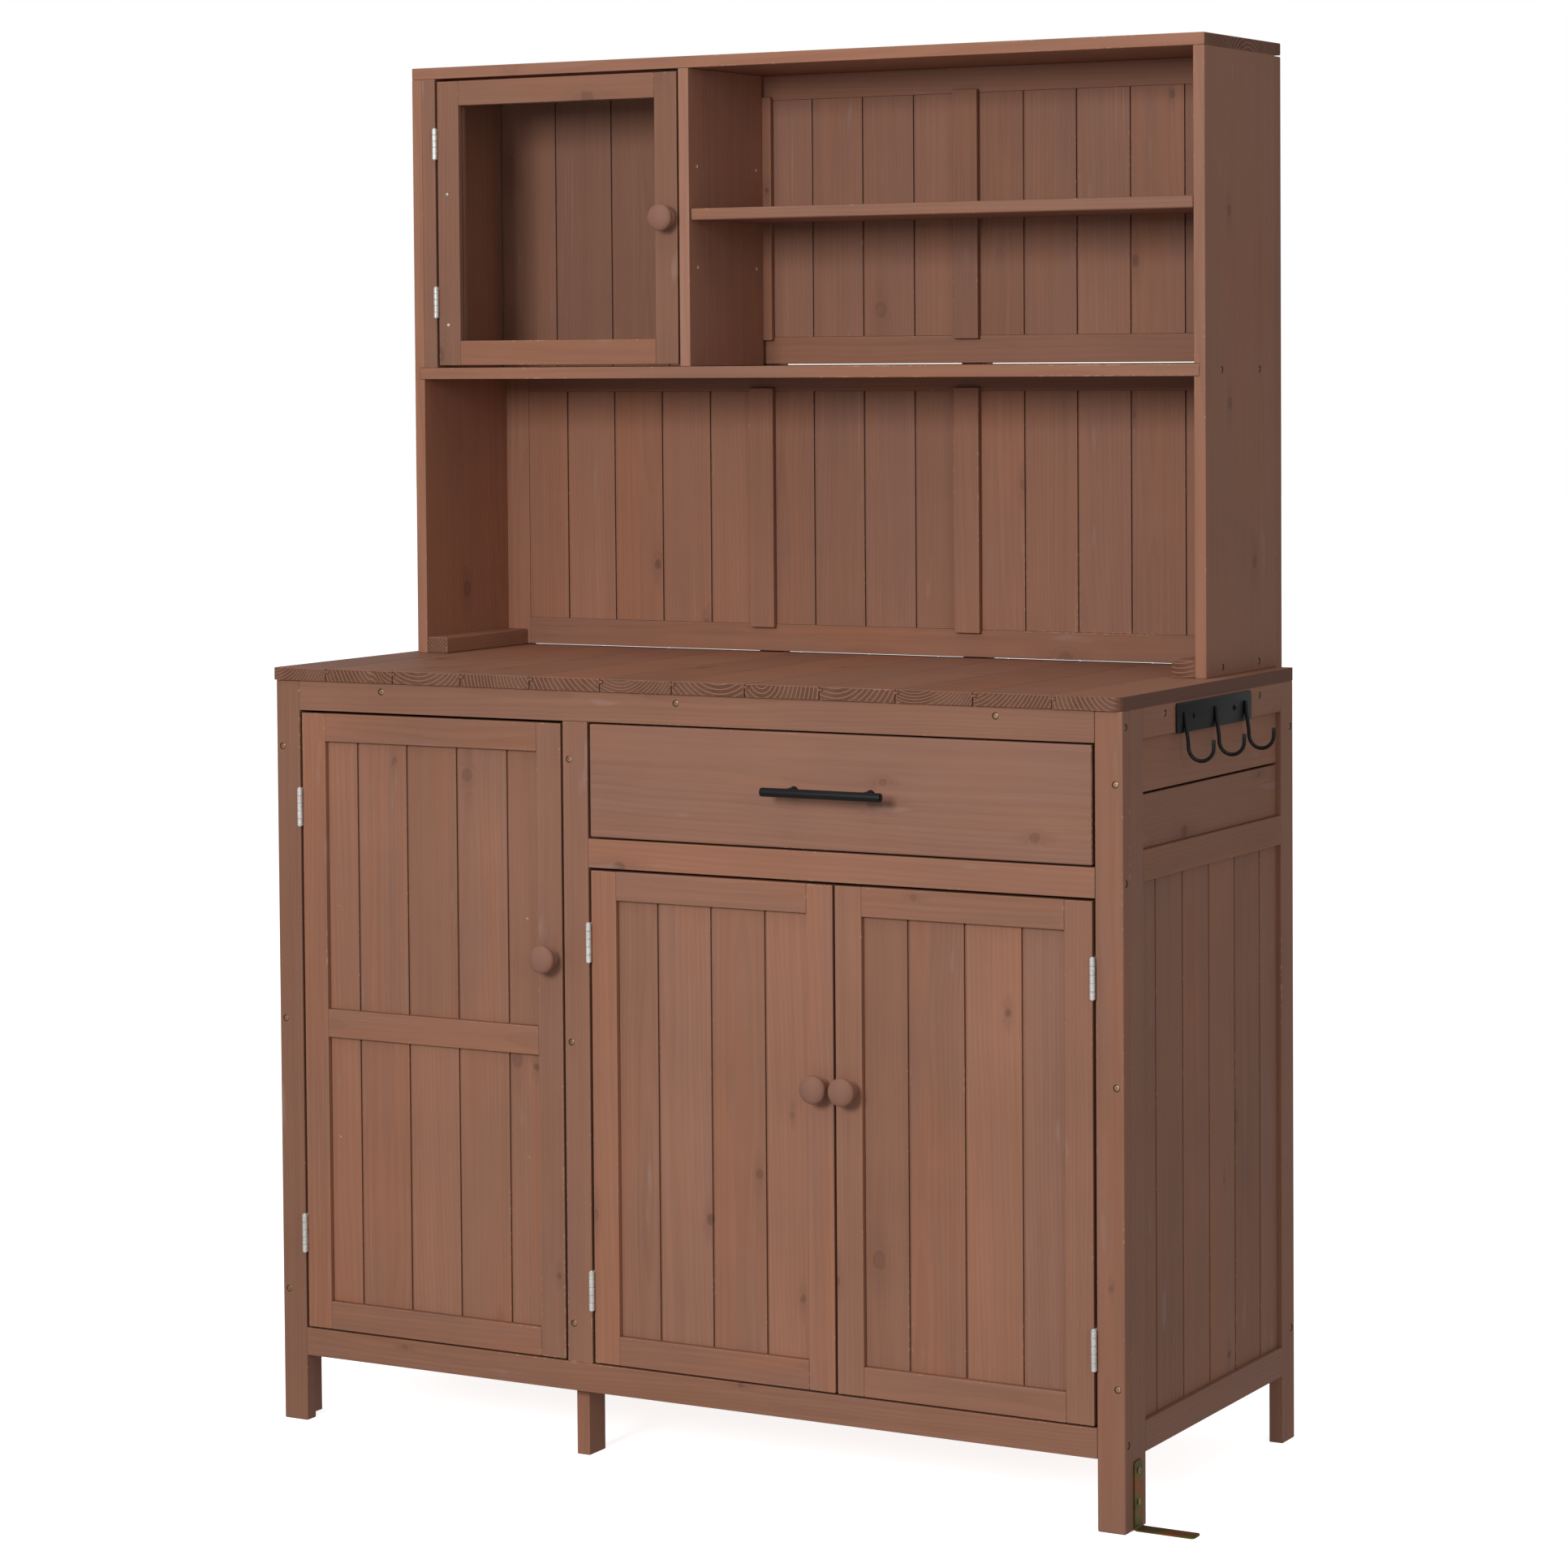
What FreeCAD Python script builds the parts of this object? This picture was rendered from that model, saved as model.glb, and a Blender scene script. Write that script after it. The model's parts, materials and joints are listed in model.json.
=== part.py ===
"""Potting bench: a framed base with doors and a drawer, and a shelved hutch standing on it.

Cabinet coordinates, in millimetres: X from the left outer face, Y from the front face of the
face frame towards the back, Z up from the floor. Every sub-part's Placement then moves it to
the frame origin, which is the middle of the overall envelope, on the floor.
"""
import FreeCAD, Part
import os
import re
from FreeCAD import Placement, Rotation, Vector

DIMENSIONS = [
    # overall
    ("width", 1100), ("depth", 470), ("leg_height", 882.5), ("foot_gap", 78.5),
    # face frame and the framed panels
    ("face_wide", 33), ("face_thick", 18), ("top_rail", 35), ("frame_thick", 17),
    ("side_stile", 35), ("side_rail", 33.5), ("side_mid", 695.5), ("centre_x", 399.5),
    ("drawer_rail", 681.5), ("door_gap", 3), ("hinge_gap", 3.5), ("low_gap", 2), ("door_mid", 461.5),
    ("ease", 1), ("base_set", 4),
    # tongued and grooved planks
    ("recess", 6), ("panel_thick", 8), ("seam", 2.4), ("tongue_thick", 3), ("tongue_deep", 5),
    ("tongue_back", 2.5), ("fit", 0.3), ("plank_pitch", 69.4), ("side_pitch", 72),
    ("lining_pitch", 82), ("side_shift", 3.5), ("door_shift", 1.5),
    # worktop, floor and inner shelves
    ("top_thick", 15), ("top_overhang", 4), ("top_pitch", 94.5), ("top_first", 74), ("top_seam", 0.8),
    ("top_tongue", 4), ("corner_radius", 12), ("batten", 20), ("floor_thick", 10), ("shelf_thick", 14),
    ("shelf_setback", 24),
    ("left_shelf", 476), ("right_shelf", 390), ("board_gap", 2),
    # hutch
    ("hutch_inset", 20.5), ("hutch_front", 269), ("hutch_board", 14), ("hutch_top", 1603.5),
    ("hutch_shelf", 1235.5), ("housing", 6.5), ("divider_x", 400.5), ("back_frame", 16),
    ("back_rail", 33), ("joint_rail", 32), ("crown_rail", 30.5), ("back_low", 899),
    ("panel_joint", 1250), ("light_gap", 1.2), ("back_set", 1),
    ("strip_thick", 7), ("strip_lap", 4), ("strip_left", 392.5), ("strip_wide", 33.5),
    ("upright_thick", 18), ("upright_low", 800), ("upright_gap", 1.5), ("cleat_wide", 29),
    ("cleat_tall", 20), ("hinge_strip", 19), ("loose_shelf", 1423), ("loose_setback", 2),
    ("pin_front", 289), ("pin_back", 431), ("pin_height", 1427.5), ("pin_step", 60),
    ("pin_radius", 2.5), ("pin_half", 7),
    # hutch door
    ("glass_stile", 31), ("glass_rail", 30), ("glass_thick", 3), ("glass_set", 7.5), ("glass_groove", 5),
    ("meeting_gap", 2.5), ("knob_aside", 2),
    # drawer
    ("drawer_clear", 13.5), ("drawer_side", 12), ("drawer_low", 722), ("drawer_tall", 90),
    ("drawer_back", 400), ("drawer_floor", 5), ("drawer_floor_up", 8), ("slide_gap", 0.4),
    # ironmongery
    ("knuckle_radius", 3), ("hinge_pin", 1.5), ("pin_play", 0.05), ("knuckle_gap", 0.3),
    ("pivot_out", 3.3), ("leaf_thick", 1.2), ("leaf_wide", 16), ("leaf_start", 0.8),
    ("hinge_tall", 45), ("small_hinge", 37.5), ("knob_radius", 16), ("knob_stem", 8), ("knob_out", 26),
    ("knob_neck", 9), ("knob_rim", 4), ("knob_dome", 1.5), ("knob_tip", 2), ("tall_knob", 575),
    ("short_knob", 453), ("tall_hinge_low", 203), ("tall_hinge_high", 710.5), ("short_hinge_low", 174),
    ("short_hinge_high", 573.5), ("glass_hinge_low", 1311), ("glass_hinge_high", 1505),
    ("handle_length", 150), ("handle_centres", 96), ("bar_radius", 5),
    ("post_radius", 4), ("handle_out", 28), ("plate_thick", 2), ("plate_long", 206), ("plate_tall", 33),
    ("plate_middle", 241), ("hook_step", 84), ("wire_radius", 2.1), ("hook_bend", 15), ("hook_top", 864),
    ("hook_out", 5), ("hook_low", 832), ("hook_tip", 9), ("hook_root", 5), ("bracket_wide", 20),
    ("bracket_tall", 75),
    ("bracket_foot", 70), ("bracket_start", 20), ("bracket_hole", 2.6), ("plate_screw", 56),
    ("head_radius", 3.3), ("head_thick", 1.5), ("sink_radius", 4), ("sink_depth", 2),
    ("shank_radius", 2), ("shank_play", 0.1), ("screw_length", 32), ("hex_radius", 1.4),
    ("screw_low", 156), ("screw_step", 324), ("top_screw", 150), ("batten_screw_front", 110),
    ("batten_screw_back", 372), ("leg_screw_low", 130), ("leg_screw_high", 830),
    ("hutch_screw_front", 315), ("shelf_screw_back", 423), ("cleat_screw_back", 419),
    ("crown_screw_front", 310), ("crown_screw_back", 430), ("catch_long", 36), ("catch_thick", 12),
    ("catch_tall", 16), ("catch_aside", 12), ("catch_down", 22), ("catch_over", 4),
]

WORD = re.compile(r"[a-z]\w*")

doc = FreeCAD.newDocument("PottingBench")
sheet = doc.addObject("Spreadsheet::Sheet", "Size")
for row, (alias, value) in enumerate(DIMENSIONS, start=1):
    sheet.set(f"A{row}", alias.replace("_", " "))
    sheet.set(f"B{row}", str(value))
    sheet.setAlias(f"B{row}", alias)
doc.recompute()

# Places that many boards share, as expressions of the sheet's names.
RIGHT_SIDE = "(width - frame_thick)"
CENTRE_RIGHT = "(centre_x + face_wide)"
RIGHT_STILE = "(width - face_wide)"
BACK_PLANE = "(depth - frame_thick)"
RAIL_TOP = "(foot_gap + face_wide)"
RAIL_UNDER = "(leg_height - top_rail)"
DRAWER_RAIL_TOP = "(drawer_rail + face_wide)"
WORKTOP = "(leg_height + top_thick)"
HUTCH_LEFT = "(hutch_inset + hutch_board)"
HUTCH_RIGHT = "(width - hutch_inset - hutch_board)"
BACK_FRONT = "(depth - back_frame)"
STRIP_FRONT = "(depth - back_frame - strip_thick)"
SHELF_TOP = "(hutch_shelf + hutch_board)"
DIVIDER_RIGHT = "(divider_x + hutch_board)"
BACK_LEFT = f"({HUTCH_LEFT} + back_rail)"
BACK_RIGHT = f"({HUTCH_RIGHT} - back_rail)"
MEETING = f"(({CENTRE_RIGHT} + {RIGHT_STILE}) / 2)"
ORIGIN_X = "((width + bracket_foot) / 2)"
ORIGIN_Y = "((depth + upright_thick - handle_out - bar_radius) / 2)"

# Low X of each upright behind the hutch, and the heights of the screws in every upright.
UPRIGHTS = ("hutch_inset", "strip_left", "width - strip_left - strip_wide",
            "width - hutch_inset - strip_wide")
UPRIGHT_SCREWS = (865, 915, 1234, 1588)

# Places of the two screws along each arm of the foot bracket, as a share of the arm's length.
BRACKET_SHARES = (0.4, 0.85)

# How far up the dome of a knob the middle of its arc lies.
DOME_SHARE = 0.7

sub_parts = []


def expression(text):
    """The same expression with every name read from the sheet."""
    return WORD.sub(lambda word: "Size." + word.group(0), str(text))


def bind(thing, **properties):
    for name, text in properties.items():
        thing.setExpression(name, expression(text))


def place(thing, x=0, y=0, z=0):
    for name, text in zip("xyz", (x, y, z)):
        thing.setExpression("Placement.Base." + name, expression(text))


def number(text):
    """The value of an expression, worked out in a spare cell of the sheet."""
    sheet.set("D1", f"={text}")
    sheet.recompute()
    return float(sheet.get("D1"))


def board(name, x, y, z, dx, dy, dz):
    """A straight board with its low corner at x, y, z."""
    box = doc.addObject("Part::Box", name)
    bind(box, Length=dx, Width=dy, Height=dz)
    place(box, x, y, z)
    return box


def rod(name, x, y, z, radius, length, direction=Vector(0, 0, 1)):
    """A round bar that starts at x, y, z and runs along the direction."""
    cylinder = doc.addObject("Part::Cylinder", name)
    bind(cylinder, Radius=radius, Height=length)
    cylinder.Placement = Placement(Vector(), Rotation(Vector(0, 0, 1), direction))
    place(cylinder, x, y, z)
    return cylinder


def group(name, pieces):
    compound = doc.addObject("Part::Compound", name)
    compound.Links = pieces
    return compound


def cut(name, base, tool):
    result = doc.addObject("Part::Cut", name)
    result.Base = base
    result.Tool = tool
    return result


def fuse(name, pieces):
    result = doc.addObject("Part::MultiFuse", name)
    result.Shapes = pieces
    return result


def sub_part(label, pieces, holes=None):
    """Registers one node: its pieces stay separate solids, and holes are drilled through them."""
    if holes is None:
        node = group(label, pieces)
    else:
        node = cut(label, group(label + "_pieces", pieces), holes)
    place(node, f"-{ORIGIN_X}", f"-{ORIGIN_Y}", 0)
    sub_parts.append(node)
    return node


def panel_frame(name, low, high, bottom, top, face, thick, stile, rails, along="x"):
    """Two stiles from bottom to top, with the rails (height of underside, height) between them."""
    def member(part, start, length, under, tall):
        if along == "x":
            return board(f"{name}_{part}", start, face, under, length, thick, tall)
        return board(f"{name}_{part}", face, start, under, thick, length, tall)

    rise = f"{top} - ({bottom})"
    span = f"{high} - ({low}) - 2 * {stile}"
    pieces = [member("stile_a", low, stile, bottom, rise)]
    pieces.append(member("stile_b", f"{high} - {stile}", stile, bottom, rise))
    for index, (under, tall) in enumerate(rails):
        pieces.append(member(f"rail_{index}", f"{low} + {stile}", span, under, tall))
    return pieces


def plank_row(name, count, pitch, thick, seam, length, clip_low, clip_high, tongue="tongue_deep"):
    """A row of tongued and grooved planks: side by side along X, faces towards -Y, grain along Z.

    The end planks are ripped down to clip_low and clip_high.
    """
    body = doc.addObject("PartDesign::Body", name)
    plank = body.newObject("PartDesign::AdditiveBox", name + "_plank")
    bind(plank, Length=f"{pitch} - {seam}", Width=thick, Height=length)
    place(plank, f"{seam} / 2", 0, 0)
    tongue_box = body.newObject("PartDesign::AdditiveBox", name + "_tongue")
    bind(tongue_box, Length=f"{seam} + {tongue}", Width="tongue_thick", Height=length)
    place(tongue_box, f"{pitch} - {seam} / 2", "tongue_back", 0)
    groove = body.newObject("PartDesign::SubtractiveBox", name + "_groove")
    bind(groove, Length=f"{tongue} + {seam} / 2 + fit", Width="tongue_thick + 2 * fit", Height=length)
    place(groove, 0, "tongue_back - fit", 0)
    row = body.newObject("PartDesign::LinearPattern", name + "_row")
    row.Originals = [plank, tongue_box, groove]
    row.TransformMode = "Whole shape"
    row.Direction = (next(f for f in body.Origin.OriginFeatures if f.Role == "X_Axis"), [""])
    row.Mode = "Spacing"
    row.Occurrences = count
    bind(row, Offset=pitch)
    body.Tip = row
    for end, start, wide in (("low", f"{clip_low} - {pitch}", pitch), ("high", clip_high, f"2 * {pitch}")):
        rip = body.newObject("PartDesign::SubtractiveBox", f"{name}_rip_{end}")
        bind(rip, Length=wide, Width=thick, Height=length)
        place(rip, start, 0, 0)
        body.Tip = rip
    return body


def opening_row(name, count, pitch, low, high, bottom, top, face, turn=None, shift=0):
    """A plank row over the middle of the opening from low to high, turned to the way it faces."""
    start = f"(({low} + {high}) / 2 - {count} * {pitch} / 2 + {shift})"
    body = plank_row(name, count, pitch, "panel_thick", "seam", f"{top} - ({bottom})",
                     f"{low} - {start}", f"{high} - {start}")
    if turn == "right":
        body.Placement = Placement(Vector(), Rotation(Vector(0, 0, 1), 90))
        place(body, face, start, bottom)
    elif turn == "left":
        body.Placement = Placement(Vector(), Rotation(Vector(0, 0, 1), -90))
        place(body, face, f"{low} + {high} - {start}", bottom)
    else:
        place(body, start, face, bottom)
    return body


# ---------------------------------------------------------------- screws

SCREW_WAYS = {
    "front": Vector(0, 1, 0),
    "back": Vector(0, -1, 0),
    "left": Vector(1, 0, 0),
    "right": Vector(-1, 0, 0),
    "top": Vector(0, 0, -1),
}


def screw_places():
    """The side that each wood screw is driven from, and where it starts on the surface."""
    under_top = "leg_height - batten / 2"
    half = "frame_thick / 2"
    places = [("front", x, 0, under_top) for x in ("top_screw", "width / 2", "width - top_screw")]
    for x in (half, f"centre_x + {half}", f"width - {half}"):
        places += [("front", x, 0, f"screw_low + {step} * screw_step") for step in range(3)]
    rail_levels = ("foot_gap + face_wide / 2", "drawer_rail + face_wide / 2", "leg_height - top_rail / 2")
    for side, x in (("left", 0), ("right", "width")):
        places += [(side, x, half, level) for level in rail_levels]
        places += [(side, x, y, under_top) for y in ("batten_screw_front", "batten_screw_back")]
        places += [(side, x, f"depth - {half}", level) for level in ("leg_screw_low", "leg_screw_high")]
    for side, x in (("left", "hutch_inset"), ("right", "width - hutch_inset")):
        places += [(side, x, y, "hutch_shelf + hutch_board / 2")
                   for y in ("hutch_screw_front", "shelf_screw_back")]
        places += [(side, x, y, f"{WORKTOP} + cleat_tall / 2")
                   for y in ("hutch_screw_front", "cleat_screw_back")]
    for x in ("hutch_inset + hutch_board / 2", "width - hutch_inset - hutch_board / 2"):
        places += [("top", x, y, "hutch_top + hutch_board")
                   for y in ("crown_screw_front", "crown_screw_back")]
    for low in UPRIGHTS:
        places += [("back", f"{low} + strip_wide / 2", "depth + upright_thick", level)
                   for level in UPRIGHT_SCREWS]
    return places


def plate_screw_places():
    """The same for the screws of the hook plate and of the foot bracket, on the right side."""
    x = "width + plate_thick"
    places = [("right", x, f"plate_middle + {way} * plate_screw", "hook_top") for way in (-1, 1)]
    places += [("right", x, "bracket_start + bracket_wide / 2", f"bracket_tall * {share}")
               for share in BRACKET_SHARES]
    return places


def linked(source, name, x, y, z, turn=None):
    """A linked copy of a master piece, placed in cabinet coordinates."""
    link = doc.addObject("App::Link", name)
    link.setLink(source)
    link.Placement = Placement(Vector(), turn or Rotation())
    place(link, x, y, z)
    return link


def driven(source, name, places):
    """Copies of a master that runs along +Z, one at each place, turned into the wood."""
    return [linked(source, f"{name}_{index}", x, y, z, Rotation(Vector(0, 0, 1), SCREW_WAYS[side]))
            for index, (side, x, y, z) in enumerate(places)]


def screw_holes():
    """The countersunk clearance holes of all the wood screws, as one drilling tool."""
    sink = rod("sink", 0, 0, 0, "sink_radius", "sink_depth")
    bore = rod("bore", 0, 0, 0, "shank_radius + shank_play", "screw_length + shank_play")
    hole = fuse("screw_hole", [sink, bore])
    return group("screw_holes", driven(hole, "screw_hole", screw_places()))


def plate_holes():
    hole = rod("plate_hole", 0, 0, 0, "shank_radius + shank_play", "screw_length / 2 + shank_play")
    return group("plate_holes", driven(hole, "plate_hole", plate_screw_places()))


def screw_master(name, rise, length):
    """A screw along +Z with its head's outer face at the height rise, and a hexagon socket."""
    head = rod(name + "_head", 0, 0, rise, "head_radius", "head_thick")
    shank = rod(name + "_shank", 0, 0, f"{rise} + head_thick", "shank_radius", length)
    socket = doc.addObject("Part::Prism", name + "_socket")
    socket.Polygon = 6
    bind(socket, Circumradius="hex_radius", Height="head_thick / 2")
    place(socket, 0, 0, rise)
    return cut(name, fuse(name + "_solid", [head, shank]), socket)


def screws():
    wood = screw_master("wood_screw", "sink_depth - head_thick", "screw_length - sink_depth")
    plate = screw_master("plate_screw", "-head_thick", "screw_length / 2")
    sub_part("screws", driven(wood, "wood_screw", screw_places())
             + driven(plate, "plate_screw", plate_screw_places()))


# ---------------------------------------------------------------- base

def face_frame(holes):
    """The front: two stiles that are also legs, a centre stile and three rails."""
    left = board("leg_left", 0, 0, 0, "face_wide", "face_thick", "leg_height")
    right = board("leg_right", RIGHT_STILE, 0, 0, "face_wide", "face_thick", "leg_height")
    centre = board("centre_stile", "centre_x", 0, RAIL_TOP, "face_wide", "face_thick",
                   f"{RAIL_UNDER} - {RAIL_TOP}")
    span = f"{RIGHT_STILE} - face_wide"
    top = board("top_rail", "face_wide", 0, RAIL_UNDER, span, "face_thick", "top_rail")
    bottom = board("bottom_rail", "face_wide", 0, "foot_gap", span, "face_thick", "face_wide")
    drawer = board("drawer_rail", CENTRE_RIGHT, 0, "drawer_rail", f"{RIGHT_STILE} - {CENTRE_RIGHT}",
                   "face_thick", "face_wide")
    sub_part("front_leg_left", [left], holes)
    sub_part("front_leg_right", [right], holes)
    sub_part("front_centre_stile", [centre], holes)
    sub_part("front_top_rail", [top], holes)
    sub_part("front_bottom_rail", [bottom])
    sub_part("front_drawer_rail", [drawer])


def end_frame(name, x, holes, face, turn, shift):
    """A side of the base, or the partition: stiles down to the floor, three rails and planks."""
    rails = [("foot_gap", "side_rail"), ("side_mid", "side_rail"), ("leg_height - side_rail", "side_rail")]
    frame = panel_frame(name, "face_thick", "depth", 0, "leg_height", x, "frame_thick", "side_stile",
                        rails, along="y")
    sub_part(name + "_frame", frame, holes)
    low, high = "(face_thick + side_stile)", "(depth - side_stile)"
    lower = opening_row(name + "_lower", 6, "side_pitch", low, high, "foot_gap + side_rail",
                        "side_mid", face, turn=turn, shift=shift)
    across = []
    for index in range(2):
        bay = "(leg_height - 2 * side_rail - side_mid)"
        x_low = face if turn == "left" else f"{face} - panel_thick"
        across.append(board(f"{name}_upper_{index}", x_low, low,
                            f"side_mid + side_rail + {index} * {bay} / 2 + {index} * seam / 2",
                            "panel_thick", f"{high} - {low}", f"{bay} / 2 - seam / 2"))
    sub_part(name + "_planks", [lower] + across)


def base_back(holes):
    """Two framed and planked panels between the end frames, flush with their back edges."""
    rails = [("foot_gap", "side_rail"), ("leg_height - side_rail", "side_rail")]
    frames, rows = [], []
    bays = [("back_a", "frame_thick", "centre_x", 5),
            ("back_b", "(centre_x + frame_thick)", RIGHT_SIDE, 9)]
    for name, low, high, count in bays:
        frames += panel_frame(name, low, high, "foot_gap", "leg_height", BACK_PLANE, "frame_thick",
                              "face_wide", rails)
        rows.append(opening_row(name + "_row", count, "plank_pitch", f"({low} + face_wide)",
                                f"({high} - face_wide)", "foot_gap + side_rail",
                                "leg_height - side_rail", f"{BACK_PLANE} + base_set"))
    sub_part("base_back_frame", frames, holes)
    sub_part("base_back_planks", rows)


def bays():
    """The two compartments between the end frames: name, low X and high X."""
    return [("left", "frame_thick", "centre_x"), ("right", "(centre_x + frame_thick)", RIGHT_SIDE)]


def boards_across(name, low, high, front, rear, under, thick, count):
    """Boards that run from side to side, one behind the other, with a small gap between them."""
    pitch = f"(({rear} - {front} + board_gap) / {count})"
    return [board(f"{name}_{index}", low, f"{front} + {index} * {pitch}", under,
                  f"{high} - {low}", f"{pitch} - board_gap", thick) for index in range(count)]


def floor_and_shelves():
    floor, shelves, cleats = [], [], []
    levels = {"left": "left_shelf", "right": "right_shelf"}
    for name, low, high in bays():
        floor += boards_across(f"floor_{name}", low, high, "face_thick", BACK_PLANE,
                               f"{RAIL_TOP} - floor_thick", "floor_thick", 5)
        level = levels[name]
        shelves += boards_across(f"shelf_{name}", low, high, "shelf_setback", BACK_PLANE, level,
                                 "shelf_thick", 5)
        for index, x in enumerate((low, f"{high} - batten")):
            cleats.append(board(f"cleat_{name}_{index}", x, "shelf_setback", f"{level} - batten",
                                "batten", f"{BACK_PLANE} - shelf_setback", "batten"))
        for index, y in enumerate(("face_thick", f"{BACK_PLANE} - batten")):
            cleats.append(board(f"bearer_{name}_{index}", low, y, f"{RAIL_TOP} - floor_thick - batten",
                                f"{high} - {low}", "batten", "batten"))
    sub_part("floor_boards", floor)
    sub_part("inner_shelves", shelves)
    sub_part("shelf_and_floor_cleats", cleats)


def worktop_corner():
    """What is cut away to round the right front corner of the worktop."""
    block = board("corner_block", "width - corner_radius", "-top_overhang - ease", "leg_height - ease",
                  "corner_radius + ease", "corner_radius + ease", "top_thick + 2 * ease")
    core = rod("corner_core", "width - corner_radius", "corner_radius - top_overhang",
               "leg_height - 2 * ease", "corner_radius", "top_thick + 4 * ease")
    return cut("corner_cutter", block, core)


def worktop(holes):
    row = plank_row("top_row", 12, "top_pitch", "top_thick", "top_seam",
                    "depth + top_overhang", "top_pitch - top_first", "width + top_pitch - top_first",
                    tongue="top_tongue")
    row.Placement = Placement(Vector(), Rotation(Vector(1, 0, 0), -90))
    place(row, "top_first - top_pitch", "-top_overhang", WORKTOP)
    sub_part("worktop_planks", [row], worktop_corner())
    under = "leg_height - batten"
    battens = []
    for name, low, high in bays():
        for index, y in enumerate(("face_thick", f"{BACK_PLANE} - batten")):
            battens.append(board(f"top_batten_{name}_{index}", low, y, under, f"{high} - {low}",
                                 "batten", "batten"))
    for index, x in enumerate(("frame_thick", f"{RIGHT_SIDE} - batten")):
        battens.append(board(f"top_batten_side_{index}", x, "face_thick + batten", under, "batten",
                             f"{BACK_PLANE} - face_thick - 2 * batten", "batten"))
    sub_part("worktop_battens", battens, holes)


def drawer_runners():
    """On each side a bearer under the drawer, a guide beside it and a kicker above it."""
    reach = "(face_wide - frame_thick + drawer_clear + drawer_side)"
    guide = "(face_wide - frame_thick + drawer_clear - slide_gap)"
    under = "(drawer_low - slide_gap)"
    deep = f"{BACK_PLANE} - face_thick"
    pieces = []
    for name, x, sign in (("left", "(centre_x + frame_thick)", 0), ("right", RIGHT_SIDE, 1)):
        for part, wide, z in (("bearer", reach, f"{under} - batten"), ("guide", guide, under),
                              ("kicker", reach, "drawer_low + drawer_tall + slide_gap")):
            pieces.append(board(f"{part}_{name}", f"{x} - {sign} * {wide}", "face_thick", z, wide, deep,
                                "batten"))
    sub_part("drawer_runners", pieces)


# ---------------------------------------------------------------- hutch

def pin_holes():
    """Three rows of shelf pin holes in the divider and in the right side."""
    rods = []
    for x, direction in ((DIVIDER_RIGHT, Vector(-1, 0, 0)), (HUTCH_RIGHT, Vector(1, 0, 0))):
        for y in ("pin_front", "pin_back"):
            for step in (-1, 0, 1):
                rods.append(rod(f"pin_hole_{len(rods)}", x, y, f"pin_height + {step} * pin_step",
                                "pin_radius", "pin_half", direction))
    return group("pin_holes", rods)


def hutch_carcass(holes):
    deep = "depth - hutch_front"
    rise = f"hutch_top - {WORKTOP}"
    left = board("hutch_left", "hutch_inset", "hutch_front", WORKTOP, "hutch_board", deep, rise)
    right = board("hutch_right", HUTCH_RIGHT, "hutch_front", WORKTOP, "hutch_board", deep, rise)
    shelf = board("fixed_shelf", f"{HUTCH_LEFT} - housing", "hutch_front", "hutch_shelf",
                  f"{HUTCH_RIGHT} - {HUTCH_LEFT} + 2 * housing", f"{BACK_FRONT} - hutch_front",
                  "hutch_board")
    divider = board("divider", "divider_x", "hutch_front", SHELF_TOP, "hutch_board",
                    f"{STRIP_FRONT} - hutch_front", f"hutch_top - {SHELF_TOP}")
    top = board("hutch_top_board", "hutch_inset", "hutch_front", "hutch_top",
                "width - 2 * hutch_inset", "depth + upright_thick - hutch_front", "hutch_board")
    pins = pin_holes()
    housed = group("side_cutters", [shelf, pins, holes])
    sub_part("hutch_side_left", [left], housed)
    sub_part("hutch_side_right", [right], housed)
    sub_part("hutch_fixed_shelf", [shelf], holes)
    sub_part("hutch_divider", [divider], pins)
    sub_part("hutch_top", [top], holes)
    strip = board("hinge_strip_board", HUTCH_LEFT, "hutch_front", SHELF_TOP, "hinge_strip",
                  "frame_thick", f"hutch_top - {SHELF_TOP}")
    sub_part("hutch_hinge_strip", [strip])
    cleats = [board(f"hutch_cleat_{index}", x, "hutch_front", WORKTOP, "cleat_wide",
                    f"{BACK_FRONT} - hutch_front", "cleat_tall")
              for index, x in enumerate((HUTCH_LEFT, f"{HUTCH_RIGHT} - cleat_wide"))]
    sub_part("hutch_cleats", cleats, holes)


def loose_shelf():
    """The shelf on four pins: notches under its ends drop over them."""
    shelf = board("loose_shelf_board", f"{DIVIDER_RIGHT} + ease", "hutch_front + loose_setback",
                  "loose_shelf", f"{HUTCH_RIGHT} - {DIVIDER_RIGHT} - 2 * ease",
                  f"{STRIP_FRONT} - hutch_front - loose_setback - ease", "hutch_board")
    pins, notches = [], []
    for x, way in ((DIVIDER_RIGHT, -1), (HUTCH_RIGHT, 1)):
        for y in ("pin_front", "pin_back"):
            start = f"{x} + {way} * (pin_half - fit)"
            direction = Vector(-way, 0, 0)
            pins.append(rod(f"shelf_pin_{len(pins)}", start, y, "pin_height", "pin_radius - fit / 6",
                            "2 * pin_half", direction))
            notches.append(rod(f"notch_{len(notches)}", start, y, "pin_height", "pin_radius + fit",
                               "2 * pin_half + ease", direction))
            notches.append(board(f"notch_{len(notches)}", f"{x} - pin_half - ease",
                                 f"{y} - pin_radius - fit", "loose_shelf", "2 * (pin_half + ease)",
                                 "2 * (pin_radius + fit)", "pin_height - loose_shelf"))
    sub_part("hutch_adjustable_shelf", [shelf], group("notches", notches))
    sub_part("shelf_pins", pins)


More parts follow.
